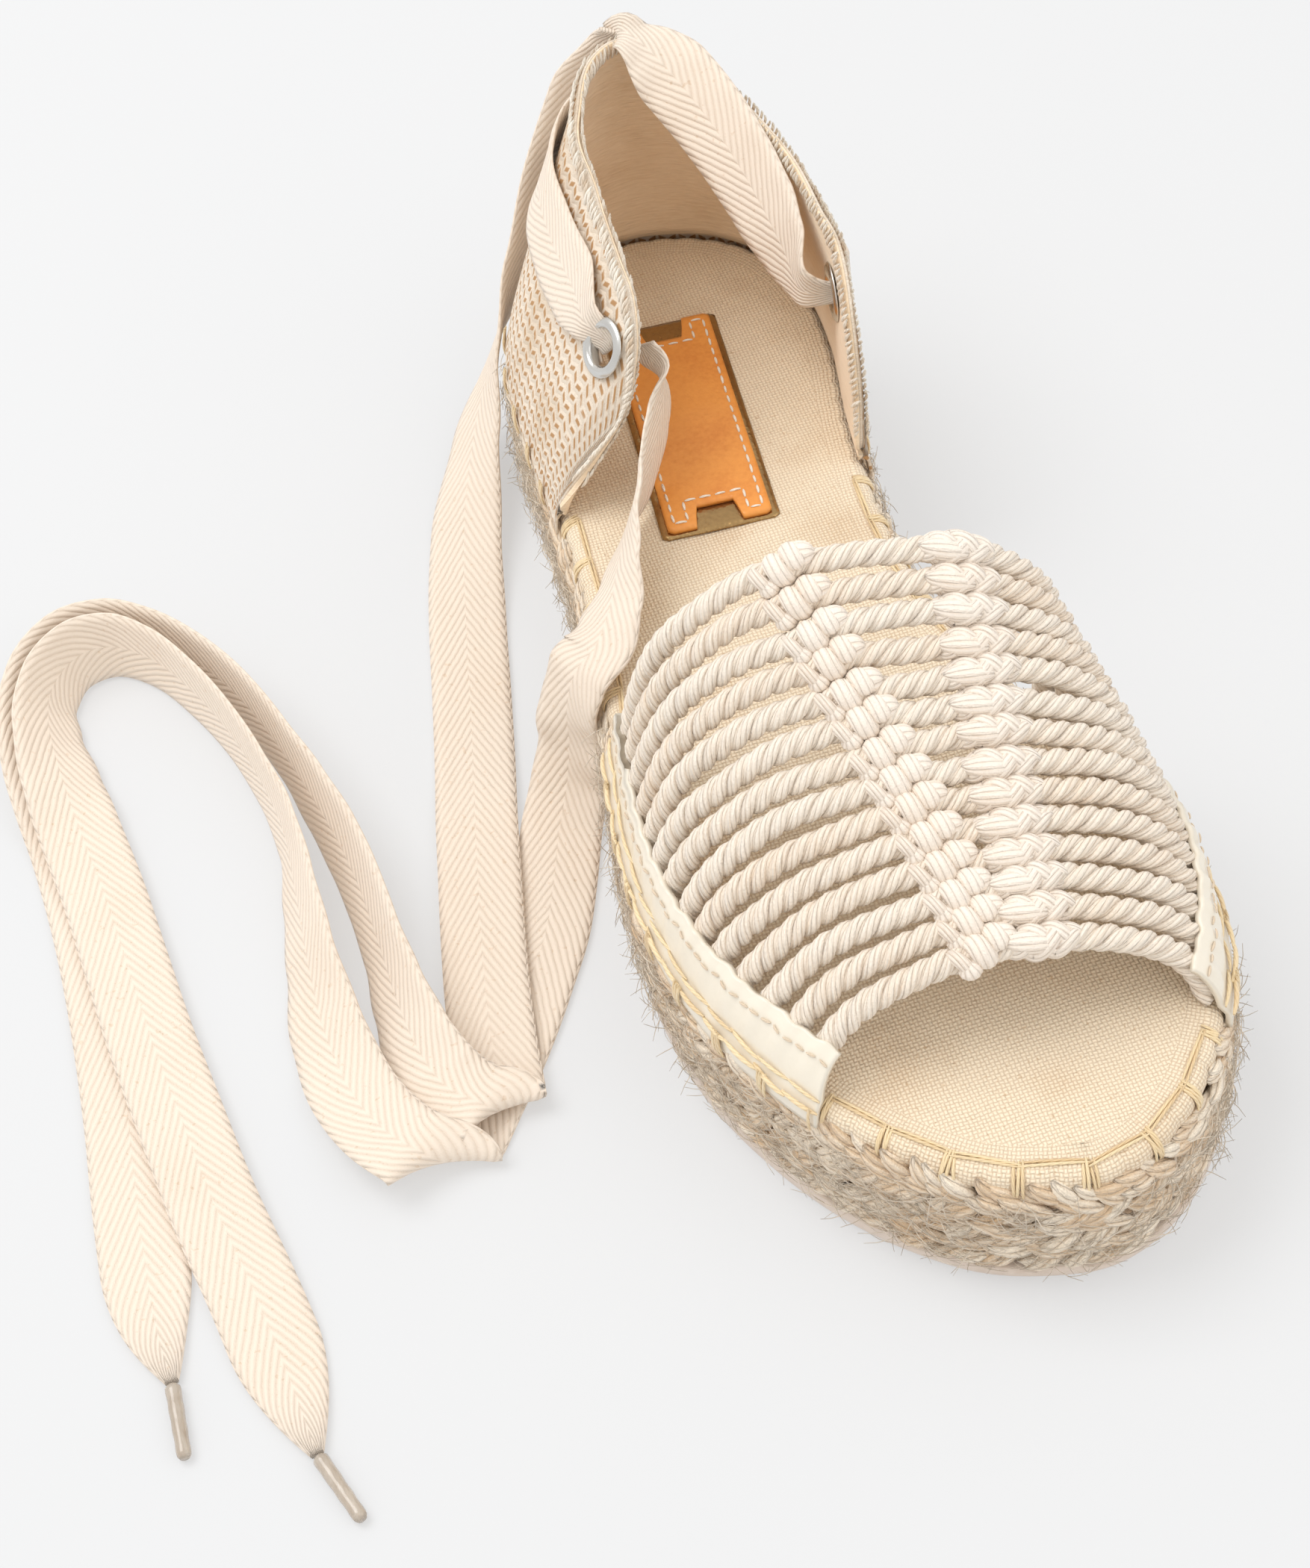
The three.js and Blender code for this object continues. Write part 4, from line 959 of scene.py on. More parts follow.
# Geometry node trees
class StitchTool:
    """Lays bowed stitches, yarn lumps or hairs on points with one Geometry Nodes tree."""

    def __init__(self) -> None:
        """Build the tree and note the identifier of each named input."""
        takes = {
            "Geometry": ("NodeSocketGeometry", None), "Length": (NUMBER, 0.004),
            "Thickness": (NUMBER, 0.0005), "Flatness": (NUMBER, 1.0), "Bow": (NUMBER, 0.0003),
            "Bluntness": (NUMBER, 0.5),
            "Size Spread": (NUMBER, 0.1), "Turn Spread": (NUMBER, 0.1), "Sides": ("NodeSocketInt", 6),
            "Steps": ("NodeSocketInt", 5), "Seed": ("NodeSocketInt", SEED), "Tone Spread": (NUMBER, 0.2),
            "Tone": (NUMBER, 0.5), "Material": ("NodeSocketMaterial", None),
        }
        graph, given, result = new_group("stitch on points", "GeometryNodeTree", takes,
                                         {"Geometry": "NodeSocketGeometry"})
        sent = given.outputs
        shape = self.one_stitch(graph, sent)
        aim = graph.add("FunctionNodeAxesToRotation", primary_axis="X", secondary_axis="Z")
        for number, name in enumerate(("along", "facing")):
            vector = graph.add("GeometryNodeInputNamedAttribute", {"Name": name}, data_type="FLOAT_VECTOR")
            graph.feed(aim, number, enabled(vector.outputs, "Attribute"))
        least = graph.math("MULTIPLY", sent["Turn Spread"], -1.0)
        low, high = (graph.vector(value, value, value) for value in (least, sent["Turn Spread"]))
        wander = self.random(graph, "FLOAT_VECTOR", low, high, sent["Seed"])
        turn = graph.add("FunctionNodeEulerToRotation", {0: wander}).outputs[0]
        spun = graph.add("FunctionNodeRotateRotation", {0: aim.outputs[0], 1: turn}, rotation_space="LOCAL")
        smallest = graph.math("SUBTRACT", 1.0, sent["Size Spread"])
        largest = graph.math("ADD", 1.0, sent["Size Spread"])
        size = self.random(graph, "FLOAT", smallest, largest, graph.math("ADD", sent["Seed"], 1.0))
        laid = graph.add("GeometryNodeInstanceOnPoints", {
            "Points": sent["Geometry"], "Instance": shape, "Rotation": spun.outputs[0], "Scale": size,
        })
        darkest = graph.math("SUBTRACT", sent["Tone"], sent["Tone Spread"])
        lightest = graph.math("ADD", sent["Tone"], sent["Tone Spread"])
        tone = self.random(graph, "FLOAT", darkest, lightest, sent["Seed"])
        toned = self.store(graph, laid.outputs[0], "tone", tone, "FLOAT", "INSTANCE")
        real = graph.add("GeometryNodeRealizeInstances", {"Geometry": toned})
        soft = graph.add("GeometryNodeSetShadeSmooth", {0: real.outputs[0]})
        inputs = {"Geometry": soft.outputs[0], "Material": sent["Material"]}
        dressed = graph.add("GeometryNodeSetMaterial", inputs)
        graph.feed(result, "Geometry", dressed.outputs[0])
        self.tree = graph.tree
        self.identifiers = {item.name: item.identifier for item in graph.tree.interface.items_tree
                            if item.in_out == "INPUT"}

    @staticmethod
    def random(graph: Graph, kind: str, low: object, high: object, seed: object) -> object:
        """Add a random value for each point or instance and return it."""
        node = graph.add("FunctionNodeRandomValue", {"Min": low, "Max": high, "Seed": seed}, data_type=kind)
        return enabled(node.outputs, "Value")

    @staticmethod
    def store(graph: Graph, geometry: object, name: str, value: object, kind: str, domain: str) -> object:
        """Store a named attribute on a geometry and return the geometry."""
        inputs = {"Geometry": geometry, "Name": name, "Value": value}
        return graph.add("GeometryNodeStoreNamedAttribute", inputs, data_type=kind, domain=domain).outputs[0]

    @staticmethod
    def one_stitch(graph: Graph, sent: object) -> object:
        """Add the nodes that make one bowed stitch and return its geometry."""
        half = graph.math("MULTIPLY", sent["Length"], 0.5)
        line = graph.add("GeometryNodeCurveQuadraticBezier", {
            "Resolution": sent["Steps"], "Start": graph.vector(graph.math("MULTIPLY", half, -1.0)),
            "Middle": graph.vector(z=graph.math("MULTIPLY", sent["Bow"], 2.0)), "End": graph.vector(half),
        })
        spline = graph.add("GeometryNodeSplineParameter").outputs
        margin = math.pi * 0.03
        bent = graph.math("MULTIPLY_ADD", spline["Factor"], math.pi - 2 * margin, margin)
        fat = graph.math("POWER", graph.math("SINE", bent), sent["Bluntness"])
        fat = graph.math("MULTIPLY", fat, sent["Thickness"])
        marked = StitchTool.store(graph, line.outputs[0], "reach", spline["Length"], "FLOAT", "POINT")
        section = graph.add("GeometryNodeCurvePrimitiveCircle", {"Resolution": sent["Sides"], "Radius": 0.5})
        place_on = graph.add("GeometryNodeInputPosition").outputs[0]
        ring = StitchTool.store(graph, section.outputs[0], "ring", place_on, "FLOAT_VECTOR", "POINT")
        pressed = graph.add("GeometryNodeTransform", {
            "Geometry": ring, "Scale": graph.vector(1.0, sent["Flatness"], 1.0),
        })
        body = graph.add("GeometryNodeCurveToMesh", {
            "Curve": marked, "Profile Curve": pressed.outputs[0], "Scale": fat, "Fill Caps": True,
        })
        return body.outputs[0]

    def lay(self, name: str, points: Array, along: Array, facing: Array,
            material: Material, **sizes: float) -> Object:
        """Lay one stitch on each point.

        Args:
            name: Name of the piece.
            points: Middle of each stitch, in millimetres.
            along: Direction of each stitch.
            facing: Direction in which each bows.
            material: Its finish.
            sizes: Named inputs of the tree, with words joined by an underscore, lengths in millimetres.

        Returns:
            One plain mesh object with every stitch.
        """
        mesh = bpy.data.meshes.new(name)
        mesh.vertices.add(len(points))
        mesh.vertices.foreach_set("co", (points * MM).ravel())
        for label, vectors in (("along", along), ("facing", facing)):
            attribute = mesh.attributes.new(label, "FLOAT_VECTOR", "POINT")
            attribute.data.foreach_set("vector", np.broadcast_to(vectors, points.shape).ravel())
        obj = bpy.data.objects.new(name, mesh)
        bpy.context.scene.collection.objects.link(obj)
        modifier = obj.modifiers.new("stitches", "NODES")
        modifier.node_group = self.tree
        lengths = ("length", "thickness", "bow")
        for key, value in sizes.items():
            label = key.replace("_", " ").title()
            modifier[self.identifiers[label]] = value * MM if key in lengths else value
        modifier[self.identifiers["Material"]] = material
        bpy.context.view_layer.update()
        graph = bpy.context.evaluated_depsgraph_get()
        plain = bpy.data.meshes.new_from_object(obj.evaluated_get(graph))
        obj.modifiers.clear()
        obj.data = plain
        bpy.data.meshes.remove(mesh)
        return obj


@dataclass
class Workshop:
    """What every sub-assembly is made with."""

    last: Last
    stitches: StitchTool
    finishes: dict[str, Material]
    chance: np.random.Generator


# Sole
@dataclass
class Sole:
    """Rubber outsole and three courses of braided jute."""

    shop: Workshop
    rubber_edge: float = 0.9
    rings_round: int = 520
    lid_cells: int = 10
    courses: int = 3
    core_reach: float = 2.3
    lump_pitch: float = 3.4
    lump_length: float = 8.0
    lump_thickness: float = 3.5
    lump_slope: float = 0.6
    lump_reach: float = 2.15
    top_row_inset: float = 0.75
    row_offset: float = 1.8
    hair_count: int = 5600
    hair_length: float = 6.5
    hair_thickness: float = 0.13

    def build(self) -> None:
        """Build and place the outsole, the jute and its hairs."""
        last = self.shop.last
        self.bottom = last.outsole_thickness + last.layer_gap
        top = last.insole_top - last.insole_thickness - last.layer_gap
        self.course = (top - self.bottom - (self.courses - 1) * last.layer_gap) / self.courses
        place(self.outsole(), "rubber", "outsole")
        place(self.core(), "jute", "jute_course_low", "jute_course_middle", "jute_course_high")
        place(self.braid(), "jute")
        place(self.hairs(), "jute")

    def ring(self, offset: Array, height: Array) -> Array:
        """Return a ring round the outline at an offset and a height."""
        share = np.arange(self.rings_round) / self.rings_round
        return self.shop.last.spot(share, offset, height)

    def stacked(self, rings: list[Array], tone: float = 0.5) -> Bundle:
        """Close a stack of rings into one body."""
        bundle = Bundle()
        around = np.arange(self.rings_round + 1) / self.rings_round * self.shop.last.girth
        grid = np.stack(rings)
        rising = run_lengths(grid[:, 0])
        swapped = np.swapaxes(grid, 0, 1)
        bundle.add(swapped, False, around, rising, cap=False, tone=tone, wrap_rows=True)
        for ring in (grid[0], grid[-1]):
            bundle.lid(ring, self.lid_cells)
        return bundle

    def outsole(self) -> Object:
        """Make the moulded outsole with a wavy upper edge."""
        last = self.shop.last
        level = self.ring(0.0, 0.0)
        lift = last.sole_lift(level[:, 1])
        share = np.arange(self.rings_round) / self.rings_round * 2 * math.pi
        waves = ((0.35, 37, 0.0), (0.3, 61, 1.3), (0.2, 113, 0.4))
        wave = sum(height * np.sin(share * count + start) for height, count, start in waves)
        reach = last.sole_reach
        edge = self.rubber_edge
        rows = [
            (reach - edge, lift), (reach - edge * 0.3, lift + edge * 0.25), (reach, lift + edge),
            (reach, last.outsole_thickness - edge * 0.4 + wave * 0.6),
            (reach - edge * 0.35, last.outsole_thickness + wave),
            (reach - edge * 1.6, last.outsole_thickness + wave * 0.3),
        ]
        bundle = self.stacked([self.ring(offset, height) for offset, height in rows])
        return bundle.make("outsole_rubber", self.shop.finishes["rubber"], merge=0.02)

    def core(self) -> Object:
        """Make the body of the three courses, in a darker finish that is painted shade behind the braid's
        lumps.
        """
        rings = []
        for number in range(self.courses):
            base = self.bottom + number * (self.course + self.shop.last.layer_gap)
            for up, out in ((0.02, -0.6), (0.2, 0.55), (0.5, 1.0), (0.8, 0.55), (0.98, -0.6)):
                rings.append(self.ring(out * self.core_reach, base + up * self.course))
        return self.stacked(rings).make("jute_core", self.shop.finishes["jute_core"], merge=0.02)

    def braid(self) -> Object:
        """Make the braid's slanted lumps, two rows to a course."""
        last = self.shop.last
        chance = self.shop.chance
        count = int(last.girth / self.lump_pitch)
        points = []
        along = []
        facing = []
        for number in range(self.courses):
            middle = self.bottom + number * (self.course + last.layer_gap) + self.course / 2
            rows = (-1.0, 1.0, 2.0) if number == self.courses - 1 else (-1.0, 1.0)
            for sign in rows:
                share = (np.arange(count) + 0.5 * (number % 2) + 0.25 * sign) / count
                share = share + chance.normal(0.0, 0.2 / count, count)
                height = middle + sign * self.row_offset + chance.normal(0.0, 0.3, count)
                offset = self.lump_reach - self.top_row_inset * max(sign - 1.0, 0.0)
                offset = offset + chance.normal(0.0, 0.25, count)
                points.append(last.spot(share, offset, height))
                lean = self.lump_slope + chance.normal(0.0, 0.2, count)
                rising = UP * (-sign * lean)[:, None]
                out = last.outward(share)
                along.append(last.along(share) + rising + out * chance.normal(0.0, 0.1, count)[:, None])
                facing.append(out)
        return self.shop.stitches.lay(
            "jute_braid", np.vstack(points), unit(np.vstack(along)), np.vstack(facing),
            self.shop.finishes["jute"],
            length=self.lump_length, thickness=self.lump_thickness, flatness=0.72, bow=0.55, bluntness=0.55,
            size_spread=0.16, turn_spread=0.16, sides=7, tone_spread=0.42,
        )

    def hairs(self) -> Object:
        """Make the loose hairs that stand off the jute."""
        last = self.shop.last
        chance = self.shop.chance
        share = chance.random(self.hair_count)
        height = self.bottom + chance.random(self.hair_count) * self.course * self.courses
        points = last.spot(share, 3.0 + chance.random(self.hair_count) * 0.7, height)
        wander = chance.normal(0.0, 1.0, (self.hair_count, 3))
        along = unit(last.along(share) * chance.normal(0.0, 1.4, self.hair_count)[:, None] + wander * 0.6)
        low = height < self.bottom + self.hair_length
        along[low, 2] = np.abs(along[low, 2]) * 0.3
        facing = unit(last.outward(share) + np.abs(wander[:, ::-1]) * UP * 0.4)
        return self.shop.stitches.lay(
            "jute_hairs", points, along, facing, self.shop.finishes["jute_hair"],
            length=self.hair_length, thickness=self.hair_thickness, flatness=1.0, bow=1.1, bluntness=0.3,
            size_spread=0.5, turn_spread=0.3, sides=3, seed=SEED + 3, tone=0.6, tone_spread=0.4,
        )


def across_cap(ring: Array, cells: int) -> Array:
    """Fill a ring with rows that run across it.

    Args:
        ring: Points round the ring, from one end down one side and back up the other.
        cells: Cells across each row.

    Returns:
        A grid of points that covers the ring.
    """
    half = len(ring) // 2
    one = ring[:half + 1]
    other = np.vstack([ring[:1], ring[:half - 1:-1]])
    share = (np.arange(cells + 1) / cells)[None, :, None]
    return blend(one[:, None], other[:, None], share)


# Footbed
@dataclass
class Footbed:
    """Canvas-covered insole, its edge threads and the label."""

    shop: Workshop
    rings_round: int = 720
    bar_pitch: float = 11.4
    bar_threads: int = 4
    thread_pitch: float = 0.52
    thread: float = 0.62
    label_width: float = 23.5
    label_length: float = 61.0
    label_turn: float = 5.4
    label_along: float = 0.235
    label_across: float = -0.03
    label_margin: float = 1.4
    notch_width: float = 9.5
    notch_depth: float = 5.5

    def build(self) -> None:
        """Build and place the insole, the threads and the label."""
        place(self.insole(), "canvas", "insole")
        for piece in self.edge_threads():
            place(piece, "canvas")
        place(self.foil(), "foil", "label_backing")
        place(self.patch(), "label_leather", "label_leather")
        place(self.label_stitches(), "label_leather")

    def insole(self) -> Object:
        """Make the canvas insole, pulled in a little at each bar of thread."""
        last = self.shop.last
        share = np.arange(self.rings_round) / self.rings_round
        bars = round(last.girth / self.bar_pitch)
        pull = np.cos(share * bars * 2 * math.pi) ** 8
        drop = last.insole_thickness
        rows = [(1.0, 0.2), (0.93, 0.62), (0.8, 0.88), (0.62, 1.0), (0.45, 0.98), (0.3, 0.86),
                (0.17, 0.62), (0.08, 0.3), (0.02, -0.1), (0.0, -0.55), (0.0, -2.2)]
        rings = []
        for down, out in rows:
            offset = out * last.rim_reach - pull * 0.4 * (0.0 < down < 1.0)
            rings.append(last.spot(share, offset, last.insole_top - down * drop))
        grid = np.swapaxes(np.stack(rings), 0, 1)
        bundle = Bundle()
        around = np.arange(self.rings_round + 1) / self.rings_round * last.girth
        bundle.add(grid, False, around, run_lengths(grid[0]), cap=False, wrap_rows=True)
        cells = 60
        top = across_cap(grid[:, -1], cells)
        top[..., 2] -= self.sink(top)
        bundle.add(top, False, np.zeros(len(top)), np.zeros(cells + 1), cap=False)
        corners = bundle.quads[-1] - (bundle.count - top.size // 3)
        bundle.maps[-1] = top.reshape(-1, 3)[corners][..., :2]
        bundle.lid(grid[:, 0], 8)
        return bundle.make("insole_canvas", self.shop.finishes["canvas"], merge=0.02)

    @staticmethod
    def sink(top: Array) -> Array:
        """Return how far the padded top dips at each of its points."""
        x = top[..., 0]
        y = top[..., 1]
        edge = np.minimum(np.arange(top.shape[1]), np.arange(top.shape[1])[::-1]) / (top.shape[1] - 1)
        calm = smooth(edge * 5.0)[None, :]
        return calm * 0.12 * (np.sin(x * 0.21 + 0.4) * np.sin(y * 0.13) + 0.6 * np.sin(x * 0.37 + y * 0.29))

    def covered(self, share: Array) -> Array:
        """Say where the counter's or a binding's skirt covers the rim, as 1 or 0."""
        last = self.shop.last
        y = last.level(share)[..., 1]
        along = 0.5 - y / last.insole_length
        lateral = np.mod(share, 1.0) < last.share_at(Side.LATERAL, 1.0)
        counter = along < np.where(lateral, last.counter_lateral, last.counter_medial)
        first = np.where(lateral, ARCH["foot_lateral"][0], ARCH["foot_medial"][0]) - 0.012
        final = np.where(lateral, ARCH["foot_lateral"][2], ARCH["foot_medial"][2]) + 0.012
        return (counter | ((along > first) & (along < final))).astype(float)

    def edge_threads(self) -> list[Object]:
        """Make the bars of thread over the rim and the line along its edge."""
        last = self.shop.last
        chance = self.shop.chance
        bars = round(last.girth / self.bar_pitch)
        share = np.repeat(np.arange(bars) / bars, self.bar_threads)
        number = np.tile(np.arange(self.bar_threads) - (self.bar_threads - 1) / 2, bars)
        share = share + (number * self.thread_pitch + chance.normal(0.0, 0.08, len(share))) / last.girth
        hidden = self.covered(share)
        skirt = last.layer_gap + 1.2
        head = last.spot(share, blend(-1.5, last.rim_reach + skirt - 0.1, hidden),
                         last.insole_top + blend(0.1, 1.0, hidden))
        foot = last.spot(share + chance.normal(0.0, 0.4, len(share)) / last.girth,
                         last.rim_reach + 0.25 + skirt * hidden, last.insole_top - 4.9)
        middle = (head + foot) / 2
        along = foot - head
        out = unit(last.outward(share) + UP * 0.75 * (1 - hidden)[:, None])
        bowed = middle + out * 0.2
        pieces = []
        looks = (("edge_bars_open", hidden < 0.5, 1.55), ("edge_bars_covered", hidden > 0.5, 0.35))
        for name, chosen, bow in looks:
            length = float(np.mean(np.linalg.norm(along[chosen], axis=1)))
            pieces.append(self.shop.stitches.lay(
                name, bowed[chosen], unit(along[chosen]), out[chosen], self.shop.finishes["gold_thread"],
                length=length, thickness=self.thread, flatness=0.9, bow=bow, bluntness=0.2, size_spread=0.05,
                turn_spread=0.06, steps=9, seed=SEED + 5, tone=0.55, tone_spread=0.25,
            ))
        lines = []
        for offset in (-0.75, -1.35):
            at = (np.arange(bars) + 0.5) / bars
            at = at[self.covered(at) < 0.5]
            lines.append((last.spot(at, offset, last.insole_top + 0.12), last.along(at)))
        points = np.vstack([line[0] for line in lines])
        along = np.vstack([line[1] for line in lines])
        pieces.append(self.shop.stitches.lay(
            "edge_line_threads", points, along, UP, self.shop.finishes["gold_thread"],
            length=self.bar_pitch * 1.02, thickness=self.thread, flatness=0.9, bow=0.18, bluntness=0.25,
            size_spread=0.03, turn_spread=0.02, steps=8, seed=SEED + 6, tone=0.45, tone_spread=0.25,
        ))
        return pieces

    def on_label(self, points: Array, height: float) -> Array:
        """Turn the label's own flat points into the sandal's, at a height."""
        last = self.shop.last
        turn = math.radians(-self.label_turn)
        x = points[..., 0] * math.cos(turn) - points[..., 1] * math.sin(turn)
        y = points[..., 0] * math.sin(turn) + points[..., 1] * math.cos(turn)
        x = x + self.label_across * last.ball_width
        y = y + last.insole_length * (0.5 - self.label_along)
        return np.stack([x, y, np.full(x.shape, height)], axis=-1)

    def plate(self, half_wide: float, half_long: float, notch: bool, levels: tuple[float, float]) -> Bundle:
        """Make a flat plate from strips along it, each end drawn in where it is notched.

        Args:
            half_wide: Half of its width.
            half_long: Half of its length.
            notch: Whether both ends are notched.
            levels: Heights of its underside and its top.

        Returns:
            The bundle with the plate.
        """
        columns = np.linspace(-half_wide, half_wide, 41)
        side = np.abs(columns)
        corner = 1.0
        end = half_long - np.where(side > half_wide - corner, (side - half_wide + corner) * 0.8, 0.0)
        if notch:
            inner = self.notch_width / 2
            end = end - self.notch_depth * smooth((inner - side) / 1.1)
        along = np.linspace(-1.0, 1.0, 61)
        flat = np.stack(np.broadcast_arrays(columns[None, :], along[:, None] * end[None, :]), axis=-1)
        bottom, top = levels
        upper = self.on_label(flat, top)
        upper[..., 2] -= 0.18 * (np.maximum(np.abs(along)[:, None], (side / half_wide)[None, :]) > 0.995)
        lower = self.on_label(flat, bottom)
        bundle = Bundle()
        grid = closed_wall(upper, lower)
        bundle.add(grid, True, along * half_long, np.concatenate([columns, columns[::-1], columns[:1]]))
        return bundle

    def foil(self) -> Object:
        """Make the foil backing that borders the label."""
        level = self.shop.last.insole_top + 0.15
        bundle = self.plate(self.label_width / 2, self.label_length / 2, False, (level, level + 0.5))
        return bundle.make("label_foil", self.shop.finishes["foil"])

    def patch(self) -> Object:
        """Make the bare leather patch."""
        level = self.shop.last.insole_top + 0.8
        wide = self.label_width / 2 - self.label_margin
        bundle = self.plate(wide, self.label_length / 2 - self.label_margin * 0.6, True, (level, level + 1.0))
        return bundle.make("label_patch", self.shop.finishes["label"])

    def label_stitches(self) -> Object:
        """Make the pale stitches round the patch."""
        wide = self.label_width / 2 - self.label_margin - 1.5
        long = self.label_length / 2 - self.label_margin - 1.2
        notch = self.notch_width / 2 + 1.3
        deep = self.notch_depth
        corners = [(-wide, -long), (-wide, long), (-notch, long), (-notch, long - deep), (notch, long - deep),
                   (notch, long), (wide, long), (wide, -long), (notch, -long), (notch, deep - long),
                   (-notch, deep - long), (-notch, -long), (-wide, -long)]
        points = []
        along = []
        for start, end in zip(corners, corners[1:]):
            run = np.array(end) - np.array(start)
            length = float(np.linalg.norm(run))
            count = max(1, round(length / 2.9))
            share = (np.arange(count) + 0.5)[:, None] / count
            points.append(self.on_label(np.array(start) + run * share, self.shop.last.insole_top + 1.83))
            direction = self.on_label(np.array([start, end]), 0.0)
            along.append(np.tile(unit(direction[1] - direction[0]), (count, 1)))
        return self.shop.stitches.lay(
            "label_stitches", np.vstack(points), np.vstack(along), UP,
            self.shop.finishes["white_thread"],
            length=2.1, thickness=0.55, flatness=0.8, bow=0.12, bluntness=0.3,
            size_spread=0.08, turn_spread=0.05, seed=SEED + 8, tone=0.7, tone_spread=0.15,
        )


# Vamp
@dataclass
class RopeLine:
    """Middle line of a rope with its directions, read where a knot lies on it."""

    run: Array
    path: Array
    out: Array
    beside: Array

    def stretch(self, middle: float, half: float, count: int) -> tuple[Array, ...]:
        """Read the line on both sides of a knot's middle.

        Args:
            middle: Length run at the knot's middle.
            half: Half of the stretch's length.
            count: Points to read.

        Returns:
            Shares from -1 to 1, points, directions out of the vamp and directions across the rope.
        """
        share = np.linspace(-1.0, 1.0, count)
        base, up, side = (at_lengths(middle + share * half, self.run, rows)
                          for rows in (self.path, self.out, self.beside))
        return share, base, unit(up), unit(side)


@dataclass
class RopeVamp:
    """Fourteen cotton ropes, each with a knot to either side of the middle."""

    shop: Workshop
    ropes: int = 14
    strands: int = 3
    step: float = 0.62
    drift: float = 0.25
    strand_radius: float = 1.24
    wind_radius: float = 1.18
    lay: float = 10.4
    sides: int = 9
    stray: float = 0.05
    ripple: float = 0.18
    fine_ripple: float = 0.12
    knot_half: float = 3.52
    knot_tone: float = 0.12
    knot_sides: int = 12
    wrap_points: int = 96
    wrap_start: float = 0.9
    wrap_waist: float = 0.22
    bud_length: float = 5.4
    bud_radius: float = 2.5
    bud_lift: float = 0.9
    wrap_radius: float = 2.0
    wrap_turns: float = 2.3
    wrap_reach: float = 1.5
    wrap_skew: float = -1.5
    wrap_lift: float = 0.75
    loop_reach: float = 1.7
    loop_radius: float = 1.25
    plait_half: float = 6.8
    plait_radius: float = 1.65
    plait_wide: float = 1.8
    plait_high: float = 1.05
    plait_lift: float = 0.8
    plait_points: int = 72
    plait_turns: float = 1.25
    lump_length: float = 9.0
    lump_radius: float = 2.0
    lump_lift: float = 1.7

    def build(self) -> None:
        """Build and place the ropes and their knots."""
        ropes = Bundle()
        knots = Bundle()
        for row in range(self.ropes):
            self.rope(row, ropes, knots)
        place(ropes.make("vamp_ropes", self.shop.finishes["rope"]), "cotton_rope", "vamp")
        place(knots.make("vamp_knots", self.shop.finishes["knot"]), "cotton_rope")

    def rope(self, row: int, ropes: Bundle, knots: Bundle) -> None:
        """Make one rope from foot to foot.

        Args:
            row: Its number from the vamp's back edge.
            ropes: Bundle for its strands.
            knots: Bundle for its knots.
        """
        last = self.shop.last
        chance = self.shop.chance
        at = row / (self.ropes - 1)
        angles = np.linspace(0.0, math.pi, 500)
        lengths = run_lengths(last.arch(at, angles))
        run = np.linspace(0.0, lengths[-1], int(lengths[-1] / self.step))
        angle = np.interp(run, lengths, angles)
        path = last.arch(at, angle)
        out = last.arch_out(at, angle)
        beside = np.cross(unit(np.gradient(path, axis=0)), out)
        wiggle = self.ripple * np.sin(run / 5.3 + row * 1.7)
        wiggle = wiggle + self.fine_ripple * np.sin(run / 3.1 + row * 0.9)
        drift = chance.normal(0.0, self.drift) * np.sin(run / lengths[-1] * math.pi) ** 0.7
        path = path + beside * (wiggle + drift * np.sin(run / 9.0 + row))[:, None]
        tone = 0.55 + chance.normal(0.0, self.stray)
        start = chance.random() * 2 * math.pi
        for strand in range(self.strands):
            phase = start + strand * 2 * math.pi / self.strands - run / self.lay * 2 * math.pi
            away = turned(out, beside, phase)
            radius = self.strand_radius * (1.0 + 0.05 * np.sin(run * 0.9 + strand * 2 + row))
            ropes.tube(path + away * self.wind_radius, radius, self.sides, away, tone, run)
        line = RopeLine(run, path, out, beside)
        for side, knot in ((Side.LATERAL, self.lateral_knot), (Side.MEDIAL, self.medial_knot)):
            middle = float(np.interp(math.pi * last.three_row(f"knot_{side.value}", at), angles, lengths))
            knot(line, middle, knots, tone)

    def lateral_knot(self, line: RopeLine, middle: float, knots: Bundle, tone: float) -> None:
        """Wind the barrel knot round its rope, with a bud at one end and a slanted loop at the other.

        Args:
            line: The rope's line.
            middle: Length run at the knot's middle.
            knots: Bundle for the knot.
            tone: How light the rope is.
        """
        share, base, up, side = line.stretch(middle, self.knot_half, self.wrap_points)
        away = turned(up, side, share * self.wrap_turns * math.pi + self.wrap_start)
        skew = side * (share * self.wrap_skew)[:, None]
        reach = self.wrap_reach * (1.0 - self.wrap_waist * share**2)
        radius = self.wrap_radius * np.clip((1.03 - np.abs(share)) * 5.0, 0.3, 1.0)
        path = base + up * self.wrap_lift + skew + away * reach[:, None]
        knots.tube(path, radius, self.knot_sides, away, tone + self.knot_tone)
        self.bud(base[-1] + up[-1] * self.bud_lift + skew[-1], base[-1] - base[-12], up[-1], knots,
                 tone + self.knot_tone, self.bud_length, self.bud_radius)
        near = 8
        turn = np.linspace(-0.65 * math.pi, 0.9 * math.pi, 40)
        away = turned(up[near], side[near], turn)
        slant = unit(base[near + 4] - base[near - 4]) * (np.sin(turn) * 1.1 - 0.9)[:, None]
        loop = base[near] + skew[near] + up[near] * 0.3 + away * self.loop_reach + slant
        knots.tube(loop, self.loop_radius, 8, away, tone)

